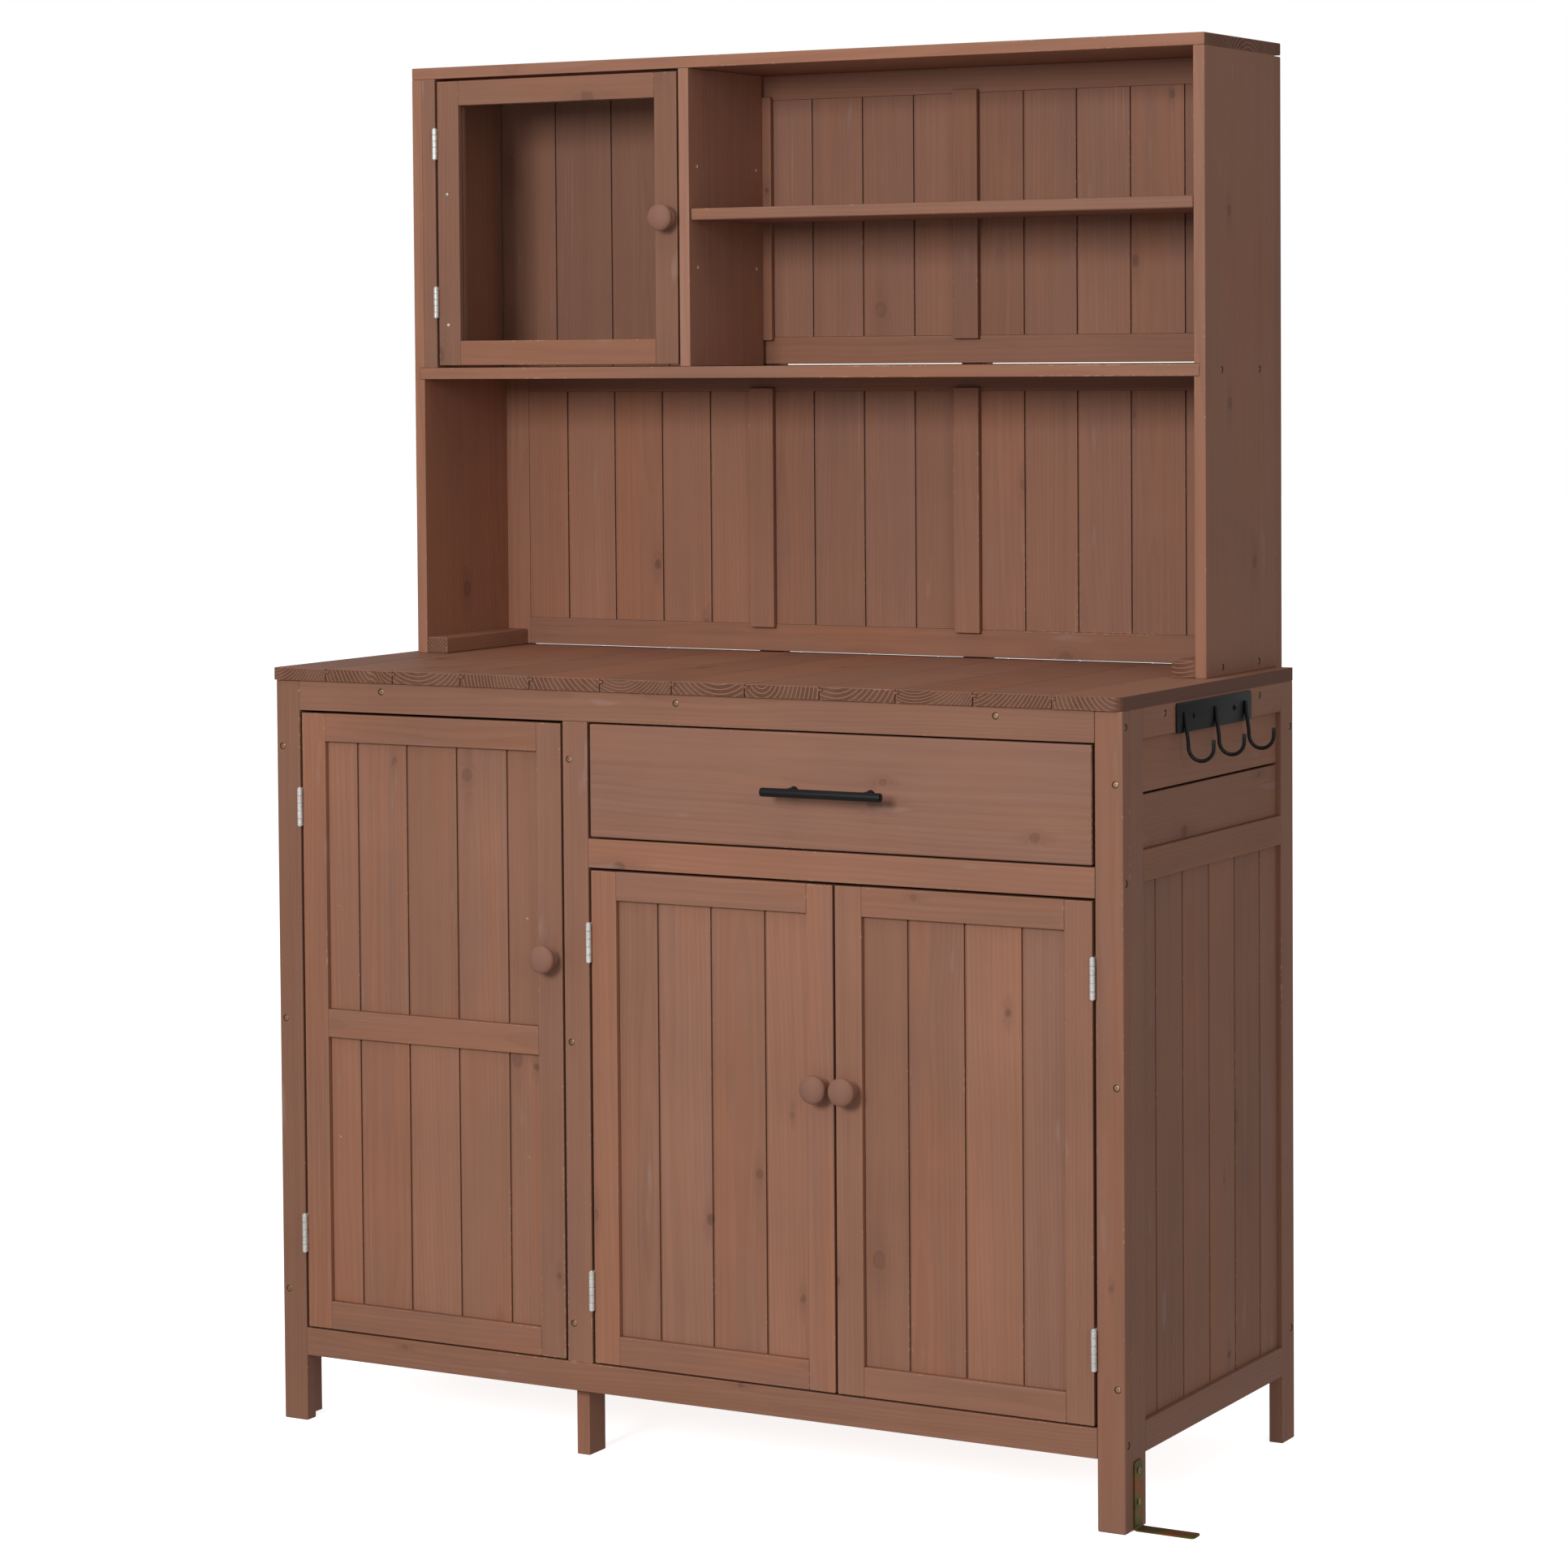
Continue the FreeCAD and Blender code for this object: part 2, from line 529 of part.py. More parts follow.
def hutch_back(holes):
    """Two framed panels, one above the other, cover strips in front and uprights behind."""
    upper = "(panel_joint + light_gap)"
    under_joint, under_crown = "(panel_joint - joint_rail)", "(hutch_top - crown_rail)"
    thick = "back_frame"
    frames = panel_frame("back_lower", HUTCH_LEFT, HUTCH_RIGHT, "back_low", "panel_joint", BACK_FRONT,
                         thick, "back_rail", [("back_low", "back_rail"), (under_joint, "joint_rail")])
    frames += panel_frame("back_upper", HUTCH_LEFT, HUTCH_RIGHT, upper, "hutch_top", BACK_FRONT,
                          thick, "back_rail", [(upper, "back_rail"), (under_crown, "crown_rail")])
    sub_part("hutch_back_frames", frames, holes)

    joint = "(strip_left + strip_wide / 2)"
    module = [("left", BACK_LEFT, f"({joint} - strip_lap)", 5, f"({BACK_LEFT} + strip_left)"),
              ("middle", f"({joint} + strip_lap)", f"(width - {joint} - strip_lap)", 4, "width"),
              ("right", f"(width - {joint} + strip_lap)", BACK_RIGHT, 5,
               f"(2 * width - {BACK_LEFT} - strip_left)")]
    rows = []
    panels = [("lower", "back_low + back_rail", under_joint, module),
              ("upper", f"{upper} + back_rail", under_crown, module[1:])]
    for level, bottom, top, parts in panels:
        for name, low, high, count, twice_centre in parts:
            start = f"({twice_centre} / 2 - {count} * plank_pitch / 2)"
            row = plank_row(f"back_{level}_{name}", count, "plank_pitch", "panel_thick", "seam",
                            f"{top} - ({bottom})", f"{low} - {start}", f"{high} - {start}")
            place(row, start, f"{BACK_FRONT} + back_set", bottom)
            rows.append(row)
    sub_part("hutch_back_planks", rows + [cupboard_lining()])

    strips = []
    for x in ("strip_left", "width - strip_left - strip_wide"):
        for bottom, top in (("back_low + back_rail - strip_lap", f"{under_joint} + strip_lap"),
                            (f"{upper} + back_rail - strip_lap", f"{under_crown} + strip_lap")):
            strips.append(board(f"cover_strip_{len(strips)}", x, STRIP_FRONT, bottom, "strip_wide",
                                "strip_thick", f"{top} - ({bottom})"))
    sub_part("hutch_back_cover_strips", strips)

    uprights = [board(f"upright_{index}", low, "depth", "upright_low", "strip_wide", "upright_thick",
                      "hutch_top - upright_gap - upright_low") for index, low in enumerate(UPRIGHTS)]
    sub_part("hutch_rear_uprights", uprights, holes)


def cupboard_lining():
    """The wider planks that line the back of the glazed cupboard, in front of the back rails."""
    row = plank_row("lining_row", 5, "lining_pitch", "strip_thick", "seam",
                    f"hutch_top - {SHELF_TOP}", "ease", f"strip_left - {HUTCH_LEFT}")
    place(row, HUTCH_LEFT, STRIP_FRONT, SHELF_TOP)
    return row


# ---------------------------------------------------------------- ironmongery

def hinge_leaf(name, tall, side, knuckles):
    """One leaf with its knuckles, pivot on the Z axis; side is -1 for the frame, 1 for the door."""
    near = "hinge_gap / 2 - leaf_thick" if side > 0 else "-hinge_gap / 2"
    step = f"({tall} / 5)"
    pieces = [board(name + "_leaf", near, "pivot_out + leaf_start", 0, "leaf_thick",
                    "leaf_wide - leaf_start", tall)]
    for index in knuckles:
        low = f"{index} * {step} + knuckle_gap / 2"
        high = f"{step} - knuckle_gap"
        pieces.append(rod(f"{name}_knuckle_{index}", 0, 0, low, "knuckle_radius", high))
        pieces.append(board(f"{name}_tab_{index}", near, 0, low, "leaf_thick",
                            "pivot_out + leaf_start + ease", high))
    bore = rod(name + "_bore", 0, 0, "-ease", "hinge_pin + pin_play", f"{tall} + 2 * ease")
    return cut(name, fuse(name + "_solid", pieces), bore)


def hinge_places():
    """Each door's hinges: name, pivot X, pivot Y, heights, height of one hinge, right-handed."""
    base = "-pivot_out"
    short = ("short_hinge_low", "short_hinge_high")
    return [
        ("left_door", "face_wide + hinge_gap / 2", base, ("tall_hinge_low", "tall_hinge_high"),
         "hinge_tall", False),
        ("middle_door", f"{CENTRE_RIGHT} + hinge_gap / 2", base, short, "hinge_tall", False),
        ("right_door", f"{RIGHT_STILE} - hinge_gap / 2", base, short, "hinge_tall", True),
        ("hutch_door", f"{HUTCH_LEFT} + hinge_strip + hinge_gap / 2", "hutch_front - pivot_out",
         ("glass_hinge_low", "glass_hinge_high"), "small_hinge", False),
    ]


def hinges():
    """All the hinges: frame leaves and pins stay with the bench, door leaves are returned."""
    over = Rotation(Vector(0, 1, 0), 180)
    masters = {}
    for tall in ("hinge_tall", "small_hinge"):
        pin = rod("pin_" + tall, 0, 0, 0, "hinge_pin", tall)
        masters[tall] = (hinge_leaf("frame_" + tall, tall, -1, (0, 2, 4)),
                         hinge_leaf("moving_" + tall, tall, 1, (1, 3)), pin)
    frame_leaves, pins, door_leaves = [], [], {}
    for door, x, y, heights, tall, right_handed in hinge_places():
        frame_master, door_master, pin_master = masters[tall]
        door_leaves[door] = []
        for index, height in enumerate(heights):
            z = f"{height} + {tall}" if right_handed else height
            turn = over if right_handed else None
            name = f"{door}_hinge_{index}"
            frame_leaves.append(linked(frame_master, name + "_fixed", x, y, z, turn))
            pins.append(linked(pin_master, name + "_pin", x, y, height))
            door_leaves[door].append(linked(door_master, name + "_moving", x, y, z, turn))
    sub_part("hinge_frame_leaves", frame_leaves)
    sub_part("hinge_pins", pins)
    return door_leaves


def knob_master():
    """A turned wooden knob on the Y axis: a waisted stem, a round rim and a domed, flat-tipped face."""
    radius, stem, out, neck, rim, dome, tip = (number(alias) for alias in (
        "knob_radius", "knob_stem", "knob_out", "knob_neck", "knob_rim", "knob_dome", "knob_tip"))
    flat = radius - rim
    face_y = dome - out
    body = doc.addObject("PartDesign::Body", "knob_body")
    profile = body.newObject("Sketcher::SketchObject", "knob_profile")
    plane = next(f for f in body.Origin.OriginFeatures if f.Role == "XY_Plane")
    profile.AttachmentSupport = (plane, [""])
    profile.MapMode = "FlatFace"
    corners = [Vector(), Vector(flat, 0, 0), Vector(flat, -neck, 0), Vector(flat, face_y, 0),
               Vector(tip, -out, 0), Vector(0, -out, 0)]
    through = [None, Vector(stem, -neck / 2, 0), Vector(radius, (face_y - neck) / 2, 0),
               Vector((flat + tip) / 2, face_y - DOME_SHARE * dome, 0), None, None]
    for index, middle in enumerate(through):
        start, end = corners[index], corners[(index + 1) % len(corners)]
        edge = Part.LineSegment(start, end) if middle is None else Part.Arc(start, middle, end)
        profile.addGeometry(edge, False)
    turning = body.newObject("PartDesign::Revolution", "knob_turning")
    turning.Profile = profile
    turning.ReferenceAxis = (profile, ["V_Axis"])
    turning.Angle = 360
    return body


def knob(name, master, x, y, z):
    sub_part(name, [linked(master, name + "_turned", x, y, z)])


def hook_rail(holes):
    x = "width"
    plate = board("plate", x, "plate_middle - plate_long / 2", "hook_top - plate_tall / 2", "plate_thick",
                  "plate_long", "plate_tall")
    sub_part("hook_plate", [plate], holes)
    hooks = []
    for index in range(3):
        y = f"plate_middle + {index - 1} * hook_step"
        lean = Vector(number("hook_out"), 0, number("hook_low - hook_top"))
        stem = rod(f"hook_stem_{index}", "width + plate_thick", y, "hook_top", "wire_radius",
                   lean.Length, lean)
        bend_x = "width + plate_thick + hook_out"
        joint = doc.addObject("Part::Sphere", f"hook_joint_{index}")
        bind(joint, Radius="wire_radius")
        place(joint, bend_x, y, "hook_low")
        bend = doc.addObject("Part::Torus", f"hook_bend_{index}")
        bind(bend, Radius1="hook_bend", Radius2="wire_radius")
        bend.Angle3 = 180
        bend.Placement = Placement(Vector(), Rotation(Vector(1, 0, 0), -90))
        place(bend, f"{bend_x} + hook_bend", y, "hook_low")
        tip = rod(f"hook_tip_{index}", f"{bend_x} + 2 * hook_bend", y, "hook_low", "wire_radius", "hook_tip")
        hooks.append(fuse(f"hook_{index}", [stem, joint, bend, tip]))
    seat = board("plate_seat", "width - hook_root", "plate_middle - plate_long / 2",
                 "hook_top - plate_tall / 2", "hook_root + plate_thick", "plate_long", "plate_tall")
    sub_part("hooks", hooks, seat)


def foot_bracket(holes):
    """A flat steel angle that ties the right front leg to the ground."""
    upright = board("bracket_upright", "width", "bracket_start", 0, "plate_thick", "bracket_wide",
                    "bracket_tall")
    foot = board("bracket_flat", "width", "bracket_start", 0, "bracket_foot", "bracket_wide",
                 "plate_thick")
    middle = "bracket_start + bracket_wide / 2"
    ground = [rod(f"ground_hole_{index}", f"width + {share} * bracket_foot", middle, "-ease",
                  "bracket_hole", "plate_thick + 2 * ease") for index, share in enumerate(BRACKET_SHARES)]
    angle = cut("bracket_angle", fuse("bracket_solid", [upright, foot]), group("ground_holes", ground))
    sub_part("foot_bracket", [angle], holes)


def door_catches():
    """Magnet blocks that the doors close against."""
    size = ("catch_long", "catch_thick", "catch_tall")
    behind = "face_thick"
    catches = [board("catch_left", "centre_x - catch_long", behind, f"{RAIL_UNDER} - catch_down", *size)]
    for index, x in enumerate((f"{MEETING} - catch_aside - catch_long", f"{MEETING} + catch_aside")):
        catches.append(board(f"catch_{index}", x, behind, "drawer_rail - catch_tall + catch_over", *size))
    catches.append(board("catch_hutch", "divider_x - catch_long", "hutch_front + frame_thick + ease",
                         "hutch_top - catch_tall", *size))
    sub_part("door_catches", catches)


# ---------------------------------------------------------------- doors and drawer

def planked_door(name, low, high, bottom, top, planks, mid_rail, knob_place, leaves, master, shift=0):
    """A framed and planked door, flush with the face frame when it is shut."""
    stile = "face_wide"
    rails = [(bottom, stile)]
    if mid_rail:
        rails.append((mid_rail, stile))
    rails.append((f"{top} - {stile}", stile))
    frame = panel_frame(name, low, high, bottom, top, 0, "frame_thick", stile, rails)
    sub_part(name + "_frame", frame)
    rows = []
    for index in range(len(rails) - 1):
        rows.append(opening_row(f"{name}_row_{index}", planks, "plank_pitch", f"({low} + {stile})",
                                f"({high} - {stile})", f"{rails[index][0]} + {stile}",
                                rails[index + 1][0], "recess", shift=shift))
    sub_part(name + "_planks", rows)
    knob(name + "_knob", master, knob_place[0], 0, knob_place[1])
    sub_part(name + "_hinge_leaves", leaves)


def base_doors(leaves, master):
    bottom = f"({RAIL_TOP} + low_gap)"
    tall_top = f"({RAIL_UNDER} - door_gap)"
    short_top = "(drawer_rail - door_gap)"
    left_high = "(centre_x - door_gap)"
    planked_door("left_door", "(face_wide + hinge_gap)", left_high, bottom, tall_top, 5, "door_mid",
                 (f"{left_high} - face_wide / 2", "tall_knob"), leaves["left_door"], master)
    middle_high = f"({MEETING} - door_gap / 2)"
    planked_door("middle_door", f"({CENTRE_RIGHT} + hinge_gap)", middle_high, bottom, short_top, 4, None,
                 (f"{middle_high} - face_wide / 2", "short_knob"), leaves["middle_door"], master,
                 shift="-door_shift")
    right_low = f"({middle_high} + door_gap)"
    planked_door("right_door", right_low, f"({RIGHT_STILE} - hinge_gap)", bottom, short_top, 4, None,
                 (f"{right_low} + face_wide / 2", "short_knob"), leaves["right_door"], master,
                 shift="door_shift")


def hutch_door(leaves, master):
    low = f"({HUTCH_LEFT} + hinge_strip + hinge_gap)"
    high = "(divider_x - meeting_gap)"
    bottom = f"({SHELF_TOP} + door_gap)"
    top = "(hutch_top - hinge_gap)"
    frame = panel_frame("hutch_door", low, high, bottom, top, "hutch_front", "frame_thick",
                        "glass_stile", [(bottom, "glass_rail"), (f"{top} - glass_rail", "glass_rail")])
    inner_low, inner_high = f"({low} + glass_stile)", f"({high} - glass_stile)"
    inner_bottom, inner_top = f"({bottom} + glass_rail)", f"({top} - glass_rail)"
    pane_low, pane_bottom = f"({inner_low} - glass_groove)", f"({inner_bottom} - glass_groove)"
    glass = board("glass", pane_low, "hutch_front + glass_set", pane_bottom,
                  f"{inner_high} + glass_groove - {pane_low}", "glass_thick",
                  f"{inner_top} + glass_groove - {pane_bottom}")
    sub_part("hutch_door_frame", frame, glass)
    sub_part("hutch_door_glass", [glass])
    knob("hutch_door_knob", master, f"{high} - glass_stile / 2 + knob_aside", "hutch_front",
         f"({bottom} + {top}) / 2")
    sub_part("hutch_door_hinge_leaves", leaves["hutch_door"])


def drawer():
    low, high = f"({CENTRE_RIGHT} + door_gap)", f"({RIGHT_STILE} - door_gap)"
    under = f"({DRAWER_RAIL_TOP} + low_gap)"
    front = board("drawer_front_board", low, 0, under, f"{high} - {low}", "face_thick",
                  f"{RAIL_UNDER} - low_gap - {under}")
    sub_part("drawer_front", [front])
    box_low = f"({CENTRE_RIGHT} + drawer_clear)"
    box_high = f"({RIGHT_STILE} - drawer_clear)"
    deep = "drawer_back - face_thick"
    inner = f"{box_high} - {box_low} - 2 * drawer_side"
    sides = [board(f"drawer_side_{index}", x, "face_thick", "drawer_low", "drawer_side", deep,
                   "drawer_tall") for index, x in enumerate((box_low, f"{box_high} - drawer_side"))]
    back = board("drawer_back_board", f"{box_low} + drawer_side", "drawer_back - drawer_side",
                 "drawer_low", inner, "drawer_side", "drawer_tall")
    sub_part("drawer_box", sides + [back])
    floor = board("drawer_floor_board", f"{box_low} + drawer_side", "face_thick",
                  "drawer_low + drawer_floor_up", inner, f"{deep} - drawer_side", "drawer_floor")
    sub_part("drawer_bottom", [floor])
    middle = f"({low} + {high}) / 2"
    level = f"({RAIL_UNDER} + {DRAWER_RAIL_TOP}) / 2"
    bar = rod("handle_bar", f"{middle} - handle_length / 2", "-handle_out", level, "bar_radius",
              "handle_length", Vector(1, 0, 0))
    posts = [rod(f"handle_post_{index}", f"{middle} + {way} * handle_centres / 2", 0, level,
                 "post_radius", "handle_out", Vector(0, -1, 0)) for index, way in enumerate((-1, 1))]
    sub_part("drawer_handle", [fuse("handle_solid", [bar] + posts)])


def build():
    holes = screw_holes()
    plates = plate_holes()
    right_holes = group("right_holes", [holes, plates])
    face_frame(holes)
    end_frame("left_side", 0, holes, "recess", "left", "side_shift")
    end_frame("right_side", RIGHT_SIDE, right_holes, "(width - recess)", "right", "-side_shift")
    end_frame("partition", "centre_x", holes, "(centre_x + (frame_thick - panel_thick) / 2)", "left", 0)
    base_back(holes)
    floor_and_shelves()
    worktop(right_holes)
    drawer_runners()
    hutch_carcass(holes)
    loose_shelf()
    hutch_back(holes)
    hook_rail(plates)
    foot_bracket(plates)
    screws()
    door_catches()
    leaves = hinges()
    master = knob_master()
    base_doors(leaves, master)
    hutch_door(leaves, master)
    drawer()
    doc.recompute()


def check():
    """Stops before anything is written if an object failed or a shape is empty or broken."""
    for thing in doc.Objects:
        if {"Invalid", "Error"} & set(thing.State):
            raise RuntimeError(f"{thing.Label} failed: {thing.State}")
    labels = [node.Label for node in sub_parts]
    if len(set(labels)) != len(labels):
        raise RuntimeError("two sub-parts share a label")
    for node in sub_parts:
        if node.Shape.isNull() or not node.Shape.isValid() or not node.Shape.Solids:
            raise RuntimeError(f"{node.Label} has no sound shape")


def write():
    os.makedirs("parts", exist_ok=True)
    for node in sub_parts:
        node.Shape.exportStep(os.path.join("parts", node.Label + ".step"))
        print(f"{node.Label}: {len(node.Shape.Solids)} solids, {node.Shape.Volume / 1000:.0f} cm3")


build()
check()
write()
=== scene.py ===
"""Potting bench: stained boards, turned knobs and plated fittings, built around the CAD frame."""
import itertools
import json
import math

import bmesh
import bpy
import numpy as np
from mathutils import Matrix, Vector


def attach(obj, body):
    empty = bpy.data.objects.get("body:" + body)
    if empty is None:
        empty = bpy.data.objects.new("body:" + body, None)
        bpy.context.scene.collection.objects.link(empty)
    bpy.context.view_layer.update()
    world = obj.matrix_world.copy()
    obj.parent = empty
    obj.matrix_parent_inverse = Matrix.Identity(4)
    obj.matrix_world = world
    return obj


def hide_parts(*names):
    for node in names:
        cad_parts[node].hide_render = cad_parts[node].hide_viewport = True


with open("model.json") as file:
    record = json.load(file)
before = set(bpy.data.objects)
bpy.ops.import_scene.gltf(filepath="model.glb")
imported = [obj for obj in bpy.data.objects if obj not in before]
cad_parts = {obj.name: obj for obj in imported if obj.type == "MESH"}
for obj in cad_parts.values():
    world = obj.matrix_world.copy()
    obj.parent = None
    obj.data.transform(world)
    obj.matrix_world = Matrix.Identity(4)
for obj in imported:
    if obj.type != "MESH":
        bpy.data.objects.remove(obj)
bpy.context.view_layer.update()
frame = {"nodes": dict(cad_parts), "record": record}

MM = 0.001
SAME_PLACE = 1e-6
SCENE = bpy.context.scene
BODIES = frame["record"]["behaviour"]["bodies"]
NODE_BODY = {node: body for body, nodes in BODIES.items() for node in nodes}
NODE_SLOT = {part["node"]: part["material_slot"] for part in frame["record"]["subparts"]}
BOARD_SLOTS = ("frame_wood", "plank_wood", "board_wood", "inner_wood", "glass")


# ---------------------------------------------------------------- node trees

def linear(red, green, blue):
    """A display colour, 0 to 255, as linear light with alpha."""
    def channel(value):
        value /= 255
        return value / 12.92 if value <= 0.04045 else ((value + 0.055) / 1.055) ** 2.4
    return (channel(red), channel(green), channel(blue), 1.0)


# places of a Mix node's colour sockets
MIX_SHARE, MIX_A, MIX_B, MIX_COLOUR = 0, 6, 7, 2


class Tree:
    """A thin hand on a shader node tree: nearly every call adds one node and returns its output."""

    def __init__(self, name):
        self.material = bpy.data.materials.new(name)
        self.material.use_nodes = True
        self.nodes = self.material.node_tree.nodes
        self.links = self.material.node_tree.links
        self.nodes.clear()

    def add(self, kind, inputs=None, **settings):
        node = self.nodes.new(kind)
        for name, value in settings.items():
            setattr(node, name, value)
        for name, value in (inputs or {}).items():
            if isinstance(value, bpy.types.NodeSocket):
                self.links.new(value, node.inputs[name])
            else:
                node.inputs[name].default_value = value
        return node

    def maths(self, operation, a, b=0.0, c=0.0, clamp=False):
        return self.add("ShaderNodeMath", {0: a, 1: b, 2: c}, operation=operation, use_clamp=clamp).outputs[0]

    def spread(self, dice, width):
        """A random number from 0 to 1 as one from minus half the width to plus half of it."""
        return self.maths("MULTIPLY_ADD", dice, width, -width / 2)

    def vector(self, operation, a, b=(0, 0, 0), scale=1.0):
        node = self.add("ShaderNodeVectorMath", {0: a, 1: b, 3: scale}, operation=operation)
        return node.outputs["Value" if operation in ("DOT_PRODUCT", "LENGTH") else "Vector"]

    def join(self, x, y, z):
        return self.add("ShaderNodeCombineXYZ", {0: x, 1: y, 2: z}).outputs[0]

    def split(self, vector):
        return self.add("ShaderNodeSeparateXYZ", {0: vector}).outputs

    def noise(self, vector, scale=1.0, detail=2.0, roughness=0.5, distortion=0.0):
        return self.add("ShaderNodeTexNoise", {"Vector": vector, "Scale": scale, "Detail": detail,
                                               "Roughness": roughness, "Distortion": distortion}).outputs[0]

    def step(self, value, low, high, to_low=0.0, to_high=1.0):
        """A smooth ramp of the value from low to high."""
        return self.add("ShaderNodeMapRange", {"Value": value, "From Min": low, "From Max": high,
                                               "To Min": to_low, "To Max": to_high},
                        interpolation_type="SMOOTHSTEP").outputs[0]

    def mix(self, share, a, b, blend="MIX"):
        """Colour a with this share of colour b over it."""
        node = self.add("ShaderNodeMix", data_type="RGBA", blend_type=blend)
        for socket, value in ((MIX_SHARE, share), (MIX_A, a), (MIX_B, b)):
            if isinstance(value, bpy.types.NodeSocket):
                self.links.new(value, node.inputs[socket])
            else:
                node.inputs[socket].default_value = value
        return node.outputs[MIX_COLOUR]

    def attribute(self, name, output="Vector"):
        return self.add("ShaderNodeAttribute", attribute_name=name).outputs[output]

    def bump(self, height, strength, distance):
        return self.add("ShaderNodeBump", {"Height": height, "Strength": strength,
                                           "Distance": distance}).outputs[0]

    def finish(self, **inputs):
        """Ends the tree in a Principled shader with these inputs."""
        names = {name.replace("_", " "): value for name, value in inputs.items()}
        shader = self.add("ShaderNodeBsdfPrincipled", names)
        self.add("ShaderNodeOutputMaterial", {"Surface": shader.outputs[0]})
        return self.material


# ---------------------------------------------------------------- materials

STAIN_BASE = (0.302, 0.142, 0.090, 1)
STAIN_GREY = (0.270, 0.136, 0.096, 1)
STAIN_ORANGE = (0.334, 0.143, 0.081, 1)
STAIN_DARK = (0.185, 0.084, 0.055, 1)
# dark for the narrow sides of planks: pooled stain and painted seam shade
SEAM_STAIN_AND_SHADE = (0.110, 0.046, 0.028, 1)
KNOT_DARK = (0.100, 0.050, 0.036, 1)
# pale wood for resin, worn arrises, nicks and the painted arris highlight
PALE_WOOD = (0.520, 0.310, 0.205, 1)
FILM_PALE = (0.350, 0.215, 0.170, 1)
END_DARK = (0.085, 0.033, 0.017, 1)
END_PALE = (0.380, 0.190, 0.115, 1)


# how strongly each pattern darkens or lightens the stain
STREAK_SHADE, FIBRE_SHADE, CLOUD_SHADE, RING_SHADE, BOARD_SHADE = 0.34, 0.15, 0.26, 0.24, 0.16
# metres, for knots and growth rings
KNOT_CELL_LONG, KNOT_CELL_WIDE = 0.21, 0.068
KNOT_SMALLEST, KNOT_RANGE = 0.0016, 0.0042
RING_NARROWEST, RING_RANGE = 0.0030, 0.0026
PITH_ASIDE, PITH_NEAREST, PITH_RANGE = 0.14, 0.012, 0.045
# distance between one board's stretch of the trunk and the next one's
TRUNK_STEP = 7.3
NO_KNOTS = 2.0


class Board:
    """The board that a shading point lies on: its directions, the point's place in it, and its own dice."""

    def __init__(self, tree):
        self.tree = tree
        self.seed = tree.attribute("board_seed", "Fac")
        coordinates = tree.add("ShaderNodeTexCoord").outputs
        self.place, self.normal = coordinates["Object"], coordinates["Normal"]
        self.along = tree.attribute("board_along")
        self.across = tree.attribute("board_across")
        through = tree.vector("CROSS_PRODUCT", self.along, self.across)
        local = tree.vector("SUBTRACT", self.place, tree.attribute("board_mid"))
        self.u = tree.vector("DOT_PRODUCT", local, self.along)
        self.v = tree.vector("DOT_PRODUCT", local, self.across)
        self.w = tree.vector("DOT_PRODUCT", local, through)
        dice = tree.add("ShaderNodeTexWhiteNoise", {"W": self.seed}, noise_dimensions="1D")
        self.dice = tree.add("ShaderNodeSeparateColor", {0: dice.outputs["Color"]}).outputs[:3]
        self.u_far = tree.maths("MULTIPLY_ADD", self.seed, TRUNK_STEP, self.u)

    def noise(self, u_scale, v_scale, w_scale=None, **settings):
        """Noise in the board's own directions, with its own scale in each."""
        tree = self.tree
        deep = tree.maths("MULTIPLY", self.w, v_scale if w_scale is None else w_scale)
        long = tree.maths("MULTIPLY", self.u_far, u_scale)
        wide = tree.maths("MULTIPLY", self.v, v_scale)
        return tree.noise(tree.join(long, wide, deep), 1.0, **settings)


def add_knots(tree, board, rarity):
    """One knot here and there: its body, dark rim, long halo, pull on the grain, and depth of colour."""
    cell = tree.add("ShaderNodeTexVoronoi", {
        "Vector": tree.join(tree.maths("DIVIDE", board.u_far, KNOT_CELL_LONG),
                            tree.maths("DIVIDE", board.v, KNOT_CELL_WIDE), 0.0),
        "Scale": 1.0, "Randomness": 0.9}, voronoi_dimensions="2D")
    centre = tree.split(cell.outputs["Position"])
    to_u = tree.maths("MULTIPLY_ADD", centre[0], -KNOT_CELL_LONG, board.u_far)
    to_v = tree.maths("MULTIPLY_ADD", centre[1], -KNOT_CELL_WIDE, board.v)
    dice = tree.add("ShaderNodeSeparateColor", {0: cell.outputs["Color"]}).outputs
    present = tree.maths("GREATER_THAN", dice[0], rarity)
    size = tree.maths("MULTIPLY_ADD", dice[1], KNOT_RANGE, KNOT_SMALLEST)
    ripple = tree.spread(tree.noise(tree.join(board.u_far, board.v, board.w), 140.0, 3.0), 0.0044)
    round_knot = tree.vector("LENGTH", tree.join(tree.maths("MULTIPLY", to_u, 0.8), to_v, 0.0))
    long_knot = tree.vector("LENGTH", tree.join(tree.maths("MULTIPLY", to_u, 0.30), to_v, 0.0))
    ratio = tree.maths("DIVIDE", tree.maths("ADD", round_knot, ripple), size)
    halo_ratio = tree.maths("DIVIDE", tree.maths("ADD", long_knot, ripple), size)
    body = tree.maths("MULTIPLY", tree.step(ratio, 1.5, 0.6), present)
    band = tree.maths("MULTIPLY", tree.step(ratio, 1.7, 1.2), tree.step(ratio, 0.7, 1.1))
    rim = tree.maths("MULTIPLY", band, present)
    halo = tree.maths("MULTIPLY", tree.step(halo_ratio, 3.4, 0.8), present)
    flow = tree.maths("MULTIPLY", tree.step(ratio, 4.0, 0.5), present)
    return body, rim, halo, flow, dice[2]


